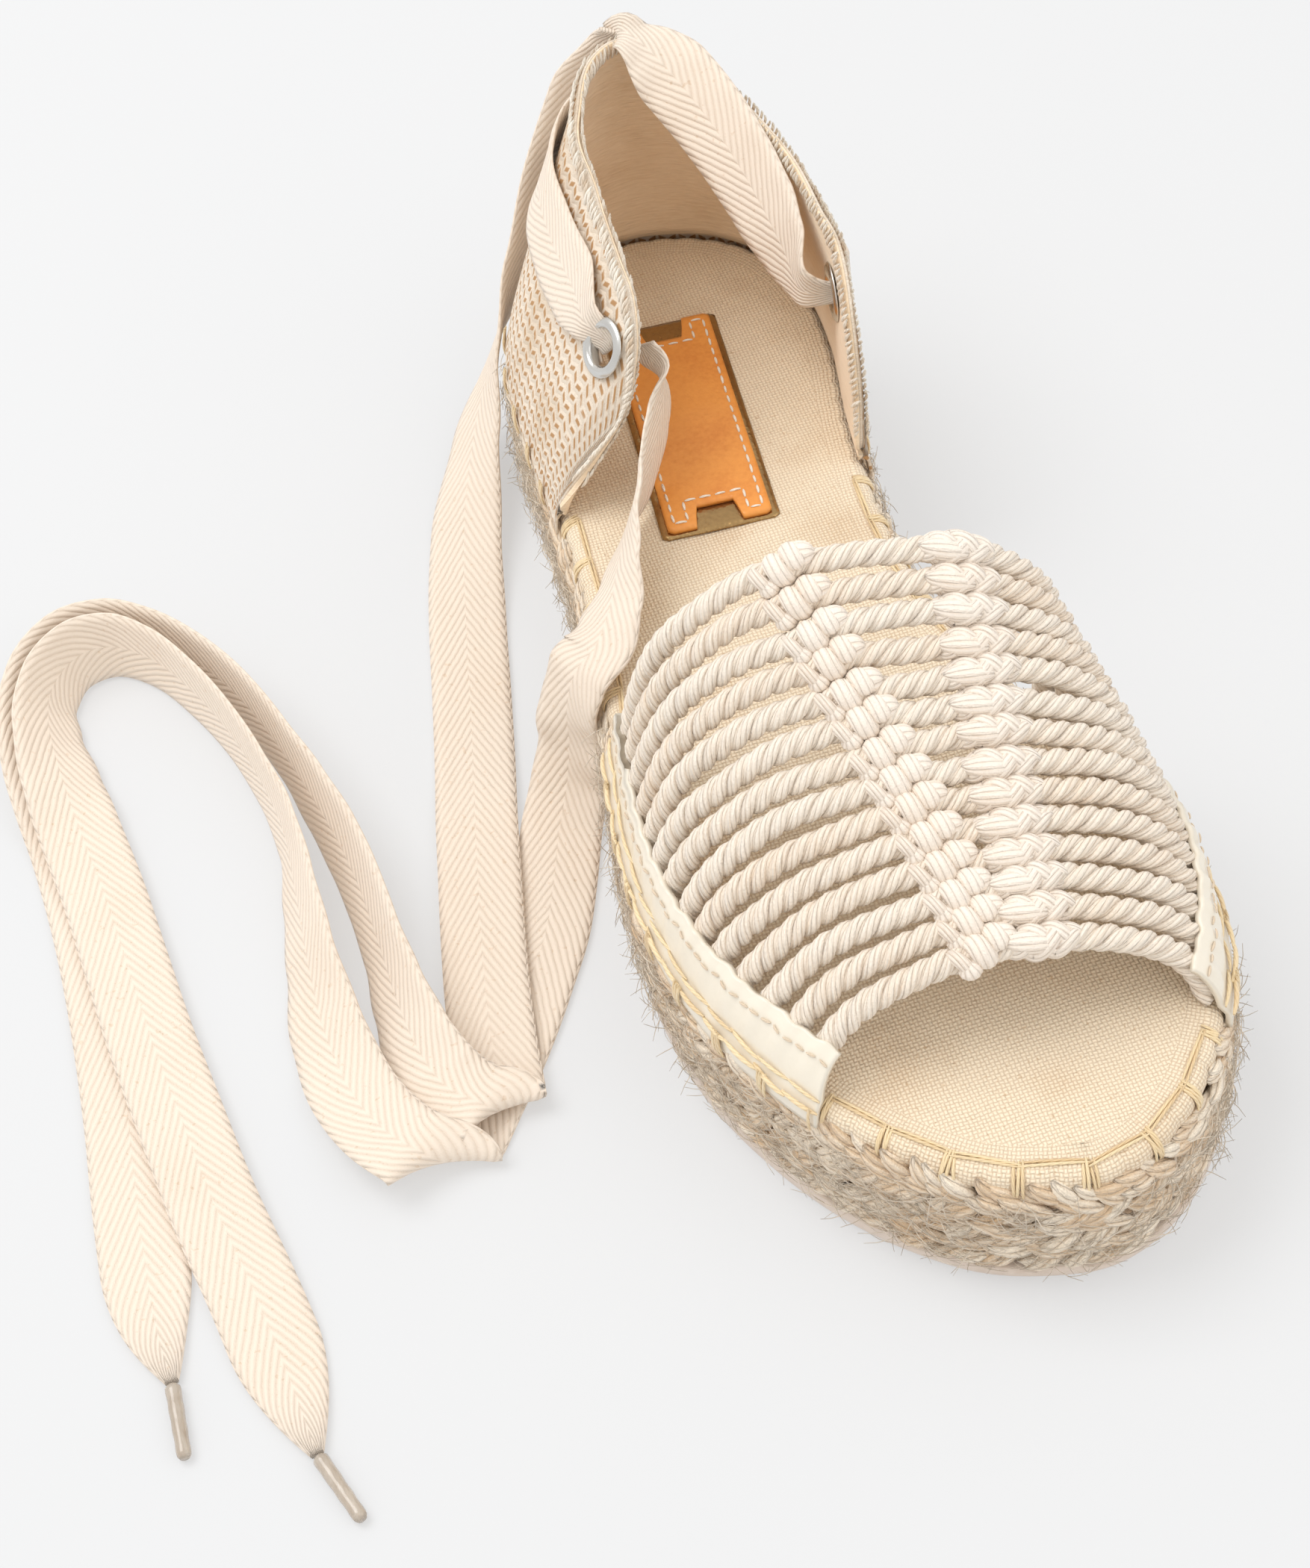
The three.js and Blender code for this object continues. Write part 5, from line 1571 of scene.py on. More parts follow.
    def medial_knot(self, line: RopeLine, middle: float, knots: Bundle, tone: float) -> None:
        """Lay the long flat knot over its rope: a short plait with a bud on it.

        Args:
            line: The rope's line.
            middle: Length run at the knot's middle.
            knots: Bundle for the knot.
            tone: How light the rope is.
        """
        share, base, up, side = line.stretch(middle, self.plait_half, self.plait_points)
        swell = np.sqrt(np.clip(1.0 - share**2, 0.03, 1.0)) ** 0.8
        start = self.shop.chance.random() * 0.9
        for strand in range(self.strands):
            phase = share * self.plait_turns * math.pi + strand * 2 * math.pi / self.strands + start
            wide = self.plait_wide * np.sin(phase) * swell
            high = self.plait_lift + self.plait_high * np.cos(2 * phase + 0.6) * swell
            path = base + up * high[:, None] + side * wide[:, None]
            knots.tube(path, self.plait_radius * swell, 10, up, tone + self.knot_tone)
        near = self.plait_points // 3
        lean = unit(base[near + 6] - base[near - 6]) + side[near] * 0.16
        self.bud(base[near] + up[near] * self.lump_lift + side[near] * 0.5, lean, up[near], knots,
                 tone + 0.1, self.lump_length, self.lump_radius)

    @staticmethod
    def bud(centre: Array, ahead: Array, up: Array, knots: Bundle, tone: float, length: float,
            radius: float) -> None:
        """Add the rounded end of a knot.

        Args:
            centre: Its middle.
            ahead: Its direction.
            up: Direction out of the vamp.
            knots: Bundle for it.
            tone: How light it is.
            length: Its length.
            radius: Its largest radius.
        """
        share = np.linspace(-1.0, 1.0, 16)
        line = centre + unit(ahead)[None, :] * (share * length / 2)[:, None]
        bulge = radius * np.sqrt(np.clip(1.0 - share**2, 0.01, 1.0))
        knots.tube(line, bulge, 10, np.broadcast_to(up, line.shape), tone)


@dataclass
class Bindings:
    """Leather bindings that take the rope ends on either side."""

    shop: Workshop
    wall: float = 1.2
    height: float = 10.0
    rope_radius: float = 1.75
    stations: int = 150
    rope_rows: int = 14
    ridge: float = 0.28

    def build(self) -> None:
        """Build and place both bindings and their stitches."""
        for side, back, front in ((Side.LATERAL, 3.2, 3.2), (Side.MEDIAL, 3.2, 2.2)):
            outer, inner = self.surface(side, back, front)
            bundle = Bundle()
            grid = closed_wall(outer, inner)
            bundle.add(grid, True, run_lengths(outer[:, 3]), wall_map(outer))
            obj = bundle.make(f"binding_{side.value}_leather", self.shop.finishes["binding"])
            place(obj, "binding", f"vamp_binding_{side.value}")
            for piece in self.stitches(side, outer):
                place(piece, "binding")

    def surface(self, side: Side, back: float, front: float) -> tuple[Array, Array]:
        """Work out a binding's outer and inner faces.

        Args:
            side: Side of the foot.
            back: How far it runs past the last rope at the back.
            front: How far it runs past the first rope at the toe.

        Returns:
            Outer grid and inner grid.
        """
        last = self.shop.last
        foot = f"foot_{side.value}"
        span = (ARCH[foot][2] - ARCH[foot][0]) * last.insole_length
        at = np.linspace(-back / span, 1 + front / span, self.stations)
        share = last.share_at(side, last.three_row(foot, at))
        skirt = last.skirt(share, self.wall)
        clear = self.rope_radius + last.layer_gap + self.wall / 2
        station = np.arange(self.stations)
        tear = 0.93 + 0.02 * np.sin(station * 0.31) + 0.015 * np.sin(station * 0.83 + 1.0)
        angles = self.top_angles(at, side) * tear
        rope = np.cos((at * (self.rope_rows - 1)) * 2 * math.pi)
        inside = (at >= -0.02) & (at <= 1.02)
        ridge = self.ridge * np.maximum(rope, -0.4) * inside
        lifts = []
        for part in (0.06, 0.16, 0.3, 0.46, 0.62, 0.76, 0.88, 0.96, 1.0):
            angle = angles * part
            turned = angle if side is Side.LATERAL else math.pi - angle
            spot = last.arch(at, turned)
            out = last.arch_out(at, turned)
            raised = clear + ridge * smooth(np.asarray(part) * 1.6) - 0.35 * (part >= 0.96)
            lifts.append(spot + out * raised[:, None])
        middle = np.stack(skirt + lifts, axis=1)
        outward = grid_normals(middle, last, share)
        return middle + outward * self.wall / 2, middle - outward * self.wall / 2

    def top_angles(self, at: Array, side: Side) -> Array:
        """Find the angle round the arch at which a binding reaches its height."""
        last = self.shop.last
        angles = np.linspace(0.0, math.pi / 2, 200)
        found = []
        for value in np.clip(at, 0.0, 1.0):
            turned = angles if side is Side.LATERAL else math.pi - angles
            found.append(float(np.interp(self.height, run_lengths(last.arch(value, turned)), angles)))
        return np.array(found)

    def stitches(self, side: Side, outer: Array) -> list[Object]:
        """Make the seam below a binding's top edge and the gold cord along its foot."""
        pieces = []
        looks = (("stitches", 10, 2.6, "tan_thread", 1.9, 0.5, 0.14),
                 ("cord", 4, 6.6, "gold_thread", 7.6, 1.0, 0.5),
                 ("cord_inner", 5, 6.6, "gold_thread", 7.6, 0.8, 0.4))
        for part, row, pitch, finish, length, thickness, bow in looks:
            line = outer[:, row]
            lengths = run_lengths(line)
            count = int(lengths[-1] / pitch)
            reach = (np.arange(count) + 0.5) / count * lengths[-1]
            points = at_lengths(reach, lengths, line)
            along = unit(at_lengths(reach, lengths, np.gradient(line, axis=0)))
            up = unit(at_lengths(reach, lengths, outer[:, row + 1] - outer[:, row - 1]))
            facing = np.cross(along, up)
            inward = facing[:, 0] * (-1.0 if side is Side.LATERAL else 1.0) < 0
            facing[inward] *= -1
            pieces.append(self.shop.stitches.lay(
                f"binding_{side.value}_{part}", points + facing * 0.2, along, facing,
                self.shop.finishes[finish],
                length=length, thickness=thickness, flatness=0.8, bow=bow, bluntness=0.3, size_spread=0.1,
                turn_spread=0.12, steps=6, seed=SEED + 9 + row, tone=0.65,
            ))
        return pieces


def grid_normals(grid: Array, last: Last, share: Array) -> Array:
    """Return the directions square to a grid that point away from the foot.

    Args:
        grid: Points by station and height.
        last: The last.
        share: Outline share of each station.

    Returns:
        A direction for each point.
    """
    along = np.gradient(grid, axis=0)
    rising = np.gradient(grid, axis=1)
    normal = unit(np.cross(along, rising))
    out = last.outward(share)[:, None, :]
    mean = np.sum(normal[:, 2:5] * out)
    return normal if mean > 0 else -normal


# Heel counter
@dataclass
class HeelCounter:
    """Soft counter: knit outside, suede lining inside, overlocked collar and two eyelets."""

    shop: Workshop
    wall: float = 2.0
    skirt_wall: float = 1.2
    stations: int = 260
    steps: int = 30
    bore: float = 7.2
    barrel: float = 0.7
    flange: float = 12.0
    sheet: float = 0.7
    lip: float = 1.0
    overlock_pitch: float = 1.25
    overlock_off: float = 0.85
    eyelets: dict = field(default_factory=lambda: {
        "eyelet_lateral": (-0.855, 0.78), "eyelet_medial": (0.76, 0.66),
    })

    def build(self) -> None:
        """Build and place the counter's two layers, its stitches and the eyelets."""
        knit, lining = self.layers()
        for layer in (knit, lining):
            self.cut_holes(layer)
        place(knit, "knit", "heel_counter")
        place(lining, "knit")
        place(self.overlock(), "knit")
        place(self.seam(), "knit")
        for name, spot in self.eyelets.items():
            place(self.eyelet(name, spot), "eyelet", name)

    def layers(self) -> tuple[Object, Object]:
        """Make the outer and the inner layer as closed walls."""
        last = self.shop.last
        raw = np.linspace(-1.0, 1.0, self.stations)
        around = np.sign(raw) * np.abs(raw) ** 0.9
        share = last.counter_share(around)
        skirt = last.skirt(share, self.skirt_wall)
        up = np.linspace(0.0, 1.0, self.steps)
        wall = last.counter(around[:, None], up[None, :])
        out = last.counter_out(around[:, None], up[None, :])
        soft = 0.3 * np.sin(around * 21)[:, None] * np.sin(up * 5.0)[None, :]
        wall = wall + out * soft[..., None]
        middle = np.concatenate([np.stack(skirt, axis=1), wall], axis=1)
        outward = grid_normals(middle, last, share)
        half = np.concatenate([np.full(len(skirt), self.skirt_wall / 2), np.full(self.steps, self.wall / 2)])
        rounding = np.ones(self.steps)
        rounding[-2:] = (0.8, 0.45)
        half[len(skirt):] *= rounding
        outer = middle + outward * half[None, :, None]
        between = middle - outward * (0.02 * half)[None, :, None]
        along = run_lengths(outer[:, 12])
        knit = Bundle()
        knit.add(closed_wall(outer, between), True, along, wall_map(outer))
        inner_face = middle - outward * half[None, :, None]
        inner = inner_face[:, len(skirt):]
        backing = (middle - outward * (0.06 * half)[None, :, None])[:, len(skirt):]
        lining = Bundle()
        lining.add(closed_wall(inner, backing), True, along, wall_map(inner))
        return (knit.make("counter_knit", self.shop.finishes["knit"]),
                lining.make("counter_lining", self.shop.finishes["suede"]))

    def lathe(self, profile: list[tuple[float, float]], spot: tuple[float, float],
              segments: int) -> Array:
        """Turn a closed profile of radius and height round an eyelet's axis."""
        last = self.shop.last
        around, up = (np.asarray(value) for value in spot)
        centre = last.counter(around, up)
        axis = last.counter_out(around, up)
        first = unit(np.cross(axis, UP))
        second = np.cross(axis, first)
        spread = turned(first, second, np.arange(segments) / segments * 2 * math.pi)
        return np.stack([centre + axis * height + spread * radius for radius, height in profile])

    def cut_holes(self, layer: Object) -> None:
        """Cut both eyelet holes through a layer."""
        radius = self.bore / 2 + self.barrel + 0.15
        deep = 6.0
        sides = 40
        for spot in self.eyelets.values():
            pin = [(0.01, -deep), (radius, -deep), (radius, deep), (0.01, deep)]
            rows = np.swapaxes(self.lathe(pin, spot, sides), 0, 1)
            bundle = Bundle()
            bundle.add(rows, False, np.arange(sides + 1.0), np.arange(5.0), cap=False, wrap_rows=True)
            cutter = bundle.make("eyelet_cutter", self.shop.finishes["knit"], merge=0.05)
            modifier = layer.modifiers.new("hole", "BOOLEAN")
            modifier.operation = "DIFFERENCE"
            modifier.solver = "EXACT"
            modifier.object = cutter
            graph = bpy.context.evaluated_depsgraph_get()
            plain = bpy.data.meshes.new_from_object(layer.evaluated_get(graph))
            layer.modifiers.clear()
            layer.data = plain
            bpy.data.objects.remove(cutter)

    def overlock(self) -> Object:
        """Make the stitches that bind the collar's edge."""
        last = self.shop.last
        raw = np.linspace(-0.985, 0.985, 900)
        edge = last.counter(raw, np.asarray(1.0))
        lengths = run_lengths(edge)
        count = int(lengths[-1] / self.overlock_pitch)
        reach = (np.arange(count) + 0.5) / count * lengths[-1]
        around = np.interp(reach, lengths, raw)
        spot = last.counter(around, np.asarray(1.0))
        under = last.counter(around, np.asarray(0.9))
        out = last.counter_out(around, np.asarray(0.98))
        rising = unit(spot - under)
        ahead, behind = (last.counter(around + step, np.asarray(1.0)) for step in (0.01, -0.01))
        run = unit(ahead - behind)
        slant = np.where(np.arange(count) % 2 == 0, 0.28, 0.12)[:, None]
        along = unit(rising * 0.75 + run * slant + out * 0.12)
        outer = spot - rising * 1.3 + out * self.overlock_off
        inner = spot - rising * 0.9 - out * self.overlock_off
        both = np.vstack([outer, inner])
        return self.shop.stitches.lay(
            "counter_overlock", both, np.vstack([along, along]), np.vstack([out, -out]),
            self.shop.finishes["overlock"],
            length=3.6, thickness=0.75, flatness=0.9, bow=0.35, bluntness=0.35,
            size_spread=0.14, turn_spread=0.12, seed=SEED + 12, tone=0.55, tone_spread=0.3,
        )

    def seam(self) -> Object:
        """Make the curved stitched seam up the lining beside the heel's middle."""
        last = self.shop.last
        share = np.linspace(0.05, 0.95, 24)
        around = -0.2 + 0.07 * share - 0.05 * np.sin(share * math.pi)
        spot = last.counter(around, share)
        out = last.counter_out(around, share)
        along = unit(np.gradient(spot, axis=0))
        return self.shop.stitches.lay(
            "lining_seam_stitches", spot - out * 1.12, along, -out, self.shop.finishes["tan_thread"],
            length=1.7, thickness=0.5, flatness=0.8, bow=0.1, bluntness=0.3, turn_spread=0.12,
            seed=SEED + 13,
        )

    def eyelet(self, name: str, spot: tuple[float, float]) -> Object:
        """Make one pressed steel eyelet with a rounded flange on both faces."""
        bore = self.bore / 2
        face = self.wall / 2 + self.shop.last.layer_gap
        flange = self.flange / 2
        crown = face + self.sheet
        half = [(bore, 0.0), (bore, face * 0.7), (bore + 0.18, face + 0.25), (bore + 0.55, crown - 0.08),
                (bore + self.lip, crown), (bore + self.lip + 0.7, crown - 0.12), (flange - 0.25, face + 0.3),
                (flange, face + 0.06), (flange - 0.12, face - 0.02), (bore + self.barrel, face)]
        profile = half + [(radius, -height) for radius, height in half[:0:-1]]
        bundle = Bundle()
        rows = self.lathe(profile, spot, 48)
        around = np.arange(len(profile) + 1.0)
        bundle.add(rows, True, around, np.arange(49.0), cap=False, wrap_rows=True)
        return bundle.make(f"{name}_ring", self.shop.finishes["steel"])


# Tie
TIE_END_A = [
    (-10.5, 61, 59, 92), (-8.5, 57.5, 53.5, 90), (-11.5, 52, 47.5, 90), (-16.5, 45, 42, 94),
    (-22.5, 36, 40.3, 108), (-28, 26, 38.4, 125), (-33, 16.5, 36.6, 148), (-37.8, 10.4, 35.2, 170),
    (-42.2, 8.6, 32.4, 180), (-45, 7.6, 25, 180), (-46.2, 6.8, 15.5, 180), (-48.4, 4.8, 6.6, 180),
    (-52, -0.5, 1.9, 180), (-56.6, -12, 0.9, 180), (-61.5, -23.5, 0.9, 180), (-67, -32.7, 0.9, 180),
    (-72.4, -41.2, 0.9, 180), (-77.6, -48.6, 0.9, 180), (-83.4, -56, 0.9, 180), (-88.4, -62.6, 0.9, 180),
    (-90.3, -65.5, 2, 148), (-92.4, -67, 4.6, 90), (-94.9, -66.3, 7.2, 32), (-97.6, -64.1, 8.3, 0),
    (-101.6, -56.4, 6.3, 5), (-104.6, -46.5, 4.9, 12), (-106, -32, 5.1, 30), (-105.2, -16, 6.8, 50),
    (-103.9, -1, 7.6, 61), (-103, 13, 8.1, 72), (-104.8, 28, 8.4, 78), (-108.2, 42.5, 8.5, 80),
    (-112.8, 55, 8.5, 80), (-119.2, 67, 8.5, 80), (-126.5, 73.6, 8.5, 78), (-134.2, 73.6, 8.5, 73),
    (-140.6, 67, 8.2, 63), (-143, 57.4, 7.2, 46), (-142.8, 45, 5.2, 25), (-141.8, 33, 3.2, 4),
    (-140, 16, 2.4, 0), (-138.8, -2, 2.4, 0), (-137.6, -20, 2.4, 0), (-135.6, -40, 2.4, 0),
    (-133.4, -60, 2.4, 0), (-130.3, -79.5, 1.6, 0), (-128.2, -96, 0.9, 0), (-126.5, -112.5, 1.5, 0),
]
TIE_END_B = [
    (6, 124.6, 83.2, 135), (4.4, 127.4, 77.5, 102), (-1, 129, 68, 92), (-10.5, 127.8, 52, 92),
    (-20.5, 123, 36, 100), (-31.2, 114.6, 21.5, 118), (-41.4, 100.5, 10.2, 142), (-50, 80, 3.6, 166),
    (-55.8, 58, 1.2, 180), (-60.2, 38, 0.9, 180), (-64.2, 20, 1.2, 180), (-67.4, 6, 2.3, 180),
    (-70.3, -7.5, 2.65, 180), (-73.2, -20.7, 2.65, 180), (-76.2, -36, 2.65, 180), (-78.2, -49, 2.65, 180),
    (-79.3, -57.4, 2.65, 180), (-79.8, -59.2, 3.2, 151), (-80.6, -60.2, 4.7, 90), (-81.9, -60, 6.2, 29),
    (-83.5, -58.9, 6.8, 0), (-86.4, -56, 6.8, 6), (-89.1, -50.8, 6.6, 20), (-91, -42, 6.7, 36),
    (-91.7, -31, 7, 50), (-91.8, -19, 7.6, 60), (-92.2, -6, 7.7, 62), (-93.4, 6, 7.8, 64),
    (-95.8, 19, 8.1, 69), (-99, 33, 8.4, 76), (-103.6, 48, 8.7, 78), (-110, 61.4, 8.7, 80),
    (-118, 71.8, 8.7, 80), (-126.6, 77.6, 8.7, 78), (-136, 77, 8.6, 72), (-143.2, 69.2, 8, 61),
    (-146, 58.6, 6.4, 42), (-145.8, 46, 3.6, 19), (-144.4, 31, 0.9, 0), (-143.4, 10, 0.9, 0),
    (-143.6, -10, 0.9, 0), (-145, -35.5, 0.9, 0), (-146.6, -53, 0.9, 0), (-147.6, -68, 0.9, 0),
    (-148, -79, 1, 0), (-147.2, -91, 1.5, 0),
]
TIE_OVER = [
    (23.4, 65, 57.5, 84), (23.2, 74, 60.2, 68), (22.2, 84.5, 64, 52), (20.6, 94.5, 68, 46),
    (18, 104, 72.6, 40), (14.6, 111.6, 77.4, 30), (11, 117.2, 81.6, 16), (8.2, 120.8, 83.9, 0),
]


@dataclass
class Tie:
    """One long herringbone tape: round the heel, over the collar and down to two loose ends."""

    shop: Workshop
    width: float = 16.0
    thickness: float = 1.2
    taper: float = 24.0
    tip_radius: float = 1.4
    film_length: float = 14.0
    film_gap: float = 0.65
    floor_gap: float = 0.1
    step: float = 0.9
    half_section: int = 11
    gather_length: float = 18.0
    per_span: int = 24

    def build(self) -> None:
        """Build and place the tie's stretches and its tips."""
        looks = (("a", TIE_END_A, (0.31, -0.95), (19, 23)), ("b", TIE_END_B, (-0.04, -1.0), (16, 20)))
        for letter, route, aim, fold in looks:
            tape, path = self.tape(f"tie_end_{letter}_tape", route, True, (0.45, 1.0), fold)
            place(tape, "twill_tape", f"tie_end_{letter}")
            tip = self.tip(f"aglet_{letter}_film", route, aim)
            place(tip, "aglet", f"aglet_{letter}")
        around, up = HeelCounter(self.shop).eyelets["eyelet_medial"]
        bore = self.shop.last.counter(np.asarray(around), np.asarray(up))
        inward = -self.shop.last.counter_out(np.asarray(around), np.asarray(up))
        mouth = [(*(bore + inward * depth), 88.0) for depth in (0.2, 2.6)]
        peak = [(6.7, 123.6, 84.0, 45.0), (5.6, 125.6, 81.8, 95.0)]
        over, _ = self.tape("tie_over_tape", mouth + TIE_OVER + peak, False, (0.32, 0.4))
        place(over, "twill_tape", "tie_over")
        place(self.wrap(), "twill_tape", "tie_wrap")

    def band(self, name: str, path: Array, across: Array, through: Array, wide: Array,
             thick: Array, run: Array) -> Object:
        """Sweep the tape's section along a path, lifted where it would reach below the floor.

        Args:
            name: Name of the piece.
            path: Points of its middle line, which are lifted too.
            across: Direction of its width at each point.
            through: Direction of its thickness at each point.
            wide: Width at each point.
            thick: Thickness at each point.
            run: Length run at each point.

        Returns:
            The piece.
        """
        share = np.linspace(-0.5, 0.5, self.half_section)
        selvage = 0.5 * (0.78 + 0.22 * smooth((np.abs(share) - 0.34) * 12.0))
        selvage[[0, -1]] = 0.2
        beside = np.concatenate([share, share[::-1]])
        above = np.concatenate([selvage, -selvage[::-1]])
        grid = (path[:, None] + across[:, None] * (beside * wide[:, None])[..., None]
                + through[:, None] * (above * thick[:, None])[..., None])
        raised = np.maximum(self.floor_gap - grid[..., 2].min(axis=1), 0.0)
        grid[..., 2] += raised[:, None]
        path[:, 2] += raised
        bundle = Bundle()
        bundle.add(grid, True, run, (np.append(beside, beside[0]) + 0.5) * self.width)
        return bundle.make(name, self.shop.finishes["twill"])

    def tape(self, name: str, route: list, tapered: bool, gather: tuple[float, float],
             fold: tuple[int, int] | None = None) -> tuple[Object, Array]:
        """Sweep the tape along a route.

        Args:
            name: Name of the piece.
            route: Points of the tape's middle line with the tilt of its section in degrees.
            tapered: Whether its far end draws in to the tip.
            gather: Shares of its width at its two ends.
            fold: Rows between which it folds back over itself.

        Returns:
            The piece and the points of its middle line in millimetres.
        """
        rows = np.array(route, dtype=float)
        fine = centripetal(rows[:, :3], False, self.per_span)
        place_on = np.arange(len(fine)) / self.per_span
        row = np.minimum(place_on.astype(int), len(rows) - 2)
        fine_tilt = blend(rows[row, 3], rows[row + 1, 3], smooth(place_on - row))
        lengths = run_lengths(fine)
        count = int(lengths[-1] / self.step)
        reach = np.linspace(0.0, lengths[-1], count)
        path = at_lengths(reach, lengths, fine)
        tilt = np.radians(np.interp(reach, lengths, fine_tilt))
        run = unit(np.gradient(path, axis=0))
        right = unit(np.stack([run[:, 1], -run[:, 0], np.zeros(count)], axis=-1))
        upward = unit(np.cross(right, run))
        across = right * np.cos(tilt)[:, None] + upward * np.sin(tilt)[:, None]
        through = unit(np.cross(run, across))
        left = np.clip((lengths[-1] - reach) / self.taper, 0.0, 1.0) if tapered else np.ones(count)
        stretch = blend(gather[0], 1.0, smooth(reach / self.gather_length))
        stretch *= blend(gather[1], 1.0, smooth((lengths[-1] - reach) / self.gather_length))
        if fold:
            first, final = (int(np.searchsorted(reach, lengths[row * self.per_span])) for row in fold)
            turn = smooth((reach[first:final] - reach[first]) / (reach[final] - reach[first]))
            crease = unit(blend(across[first], across[final], turn[:, None]))
            slant = 1.0 / float(np.dot(unit(across[first] + across[final]), across[first])) - 1.0
            across[first:final] = crease
            stretch[first:final] += slant * np.sin(math.pi * turn)
            through = unit(np.cross(run, across))
        wide = blend(self.tip_radius * 1.7, self.width, np.sqrt(smooth(left))) * stretch
        thick = blend(self.tip_radius * 1.5, self.thickness, smooth(left))
        return self.band(name, path, across, through, wide, thick, reach), path

    def wrap(self) -> Object:
        """Make the band that goes round the outside of the heel from eyelet to eyelet."""
        last = self.shop.last
        places = list(HeelCounter(self.shop).eyelets.values())
        share = np.linspace(0.0, 1.0, 150)
        around = blend(places[0][0], places[1][0], share)
        up = blend(places[0][1], places[1][1], share) - 0.06 * np.sin(math.pi * share)
        spread = smooth(np.minimum(share, 1 - share) / 0.1)
        clear = blend(1.6, 0.6, spread)
        dive = smooth(np.minimum(share, 1 - share) / 0.035)
        out = blend(-1.2, 1.0 + 0.3 + self.thickness / 2 + clear, dive)
        normal = last.counter_out(around, up)
        path = last.counter(around, up) + normal * out[:, None]
        ahead = unit(np.gradient(path, axis=0))
        across = unit(np.cross(normal, ahead))
        wide = self.width * blend(0.38, 1.0, spread)
        thick = np.full(len(path), self.thickness)
        return self.band("tie_wrap_tape", path, across, normal, wide, thick, run_lengths(path))

    def tip(self, name: str, route: list, aim: tuple[float, float]) -> Object:
        """Make the clear shrunk tip of a loose end."""
        ahead = unit(np.array([aim[0], aim[1], 0.0]))
        start = np.array([route[-1][0], route[-1][1], 0.0]) + ahead * self.film_gap
        start[2] = self.tip_radius + self.floor_gap
        share = np.linspace(0.0, 1.0, 26)
        line = start + ahead * (share * self.film_length)[:, None]
        ends = np.clip(np.minimum(share, 1 - share) * 20, 0.0, 1.0)
        shrunk = 1.0 - 0.1 * share + 0.03 * np.sin(share * 23)
        radius = self.tip_radius * (0.7 + 0.3 * np.sqrt(ends)) * shrunk
        bundle = Bundle()
        bundle.tube(line, radius, 16, np.broadcast_to(UP, line.shape))
        return bundle.make(name, self.shop.finishes["film"])


# Studio
def stand(name: str, data: bpy.types.ID, right: Array, up: Array,
          spot: Array) -> Object:
    """Stand a camera or a lamp in the scene.

    Args:
        name: Its name.
        data: The camera's or the lamp's own data.
        right: Direction of its right side.
        up: Direction of its top.
        spot: Its place in metres.

    Returns:
        The object.
    """
    obj = bpy.data.objects.new(name, data)
    bpy.context.scene.collection.objects.link(obj)
    rows = np.column_stack([right, up, np.cross(right, up), spot])
    obj.matrix_world = Matrix([*rows.tolist(), [0.0, 0.0, 0.0, 1.0]])
    return obj


@dataclass
class Studio:
    """Pale floor, soft light and the camera."""

    position: tuple[float, float, float] = (-91.05, -343.9, 432.9)
    right: tuple[float, float, float] = (0.95082, -0.29154, -0.10462)
    up: tuple[float, float, float] = (0.29117, 0.72605, 0.62295)
    floor_paint: tuple[float, float, float] = (0.33, 0.335, 0.342)
    floor_glow: float = 0.45
    focal_pixels: float = 3835.4
    frame_height: float = 2100.0
    sensor: float = 36.0

    def build_camera(self) -> None:
        """Place the camera as it stood for the photograph."""
        data = bpy.data.cameras.new("camera")
        data.sensor_width = self.sensor
        data.lens = self.focal_pixels / self.frame_height * self.sensor
        data.clip_start = 0.01
        data.clip_end = 20.0
        bpy.context.scene.camera = stand("camera", data, np.array(self.right), np.array(self.up),
                                         np.array(self.position) * MM)

    def build_light(self) -> None:
        """Add the floor, the sky and two large soft lamps."""
        scene = bpy.context.scene
        scene.view_settings.view_transform = "Standard"
        scene.view_settings.look = "None"
        world = bpy.data.worlds.new("studio")
        world.use_nodes = True
        background = world.node_tree.nodes["Background"]
        background.inputs["Color"].default_value = (1.0, 0.985, 0.965, 1.0)
        background.inputs["Strength"].default_value = 0.9
        scene.world = world
        self.lamp("key", (-0.55, 0.35, 1.25), 0.9, 9.0)
        self.lamp("fill", (0.75, -0.75, 0.95), 1.2, 3.0)
        floor = bpy.data.meshes.new("floor")
        reach = 3.0
        corners = [(-reach, -reach, 0), (reach, -reach, 0), (reach, reach, 0), (-reach, reach, 0)]
        floor.from_pydata(corners, [], [(0, 1, 2, 3)])
        material = bpy.data.materials.new("floor paper")
        material.use_nodes = True
        shader = material.node_tree.nodes["Principled BSDF"]
        shader.inputs["Base Color"].default_value = (*self.floor_paint, 1.0)
        shader.inputs["Emission Color"].default_value = (1.0, 1.0, 1.0, 1.0)
        shader.inputs["Emission Strength"].default_value = self.floor_glow
        shader.inputs["Roughness"].default_value = 0.9
        floor.materials.append(material)
        obj = bpy.data.objects.new("floor", floor)
        scene.collection.objects.link(obj)

    @staticmethod
    def lamp(name: str, spot: tuple[float, float, float], size: float, power: float) -> None:
        """Add a square lamp that faces the sandal.

        Args:
            name: Name of the lamp.
            spot: Its place in metres.
            size: Length of its side in metres.
            power: Its power in watts.
        """
        data = bpy.data.lights.new(name, "AREA")
        data.size = size
        data.energy = power
        back = unit(np.array(spot))
        right = unit(np.cross(np.array([0.0, 1.0, 0.0]), back))
        stand(name, data, right, np.cross(back, right), np.array(spot))


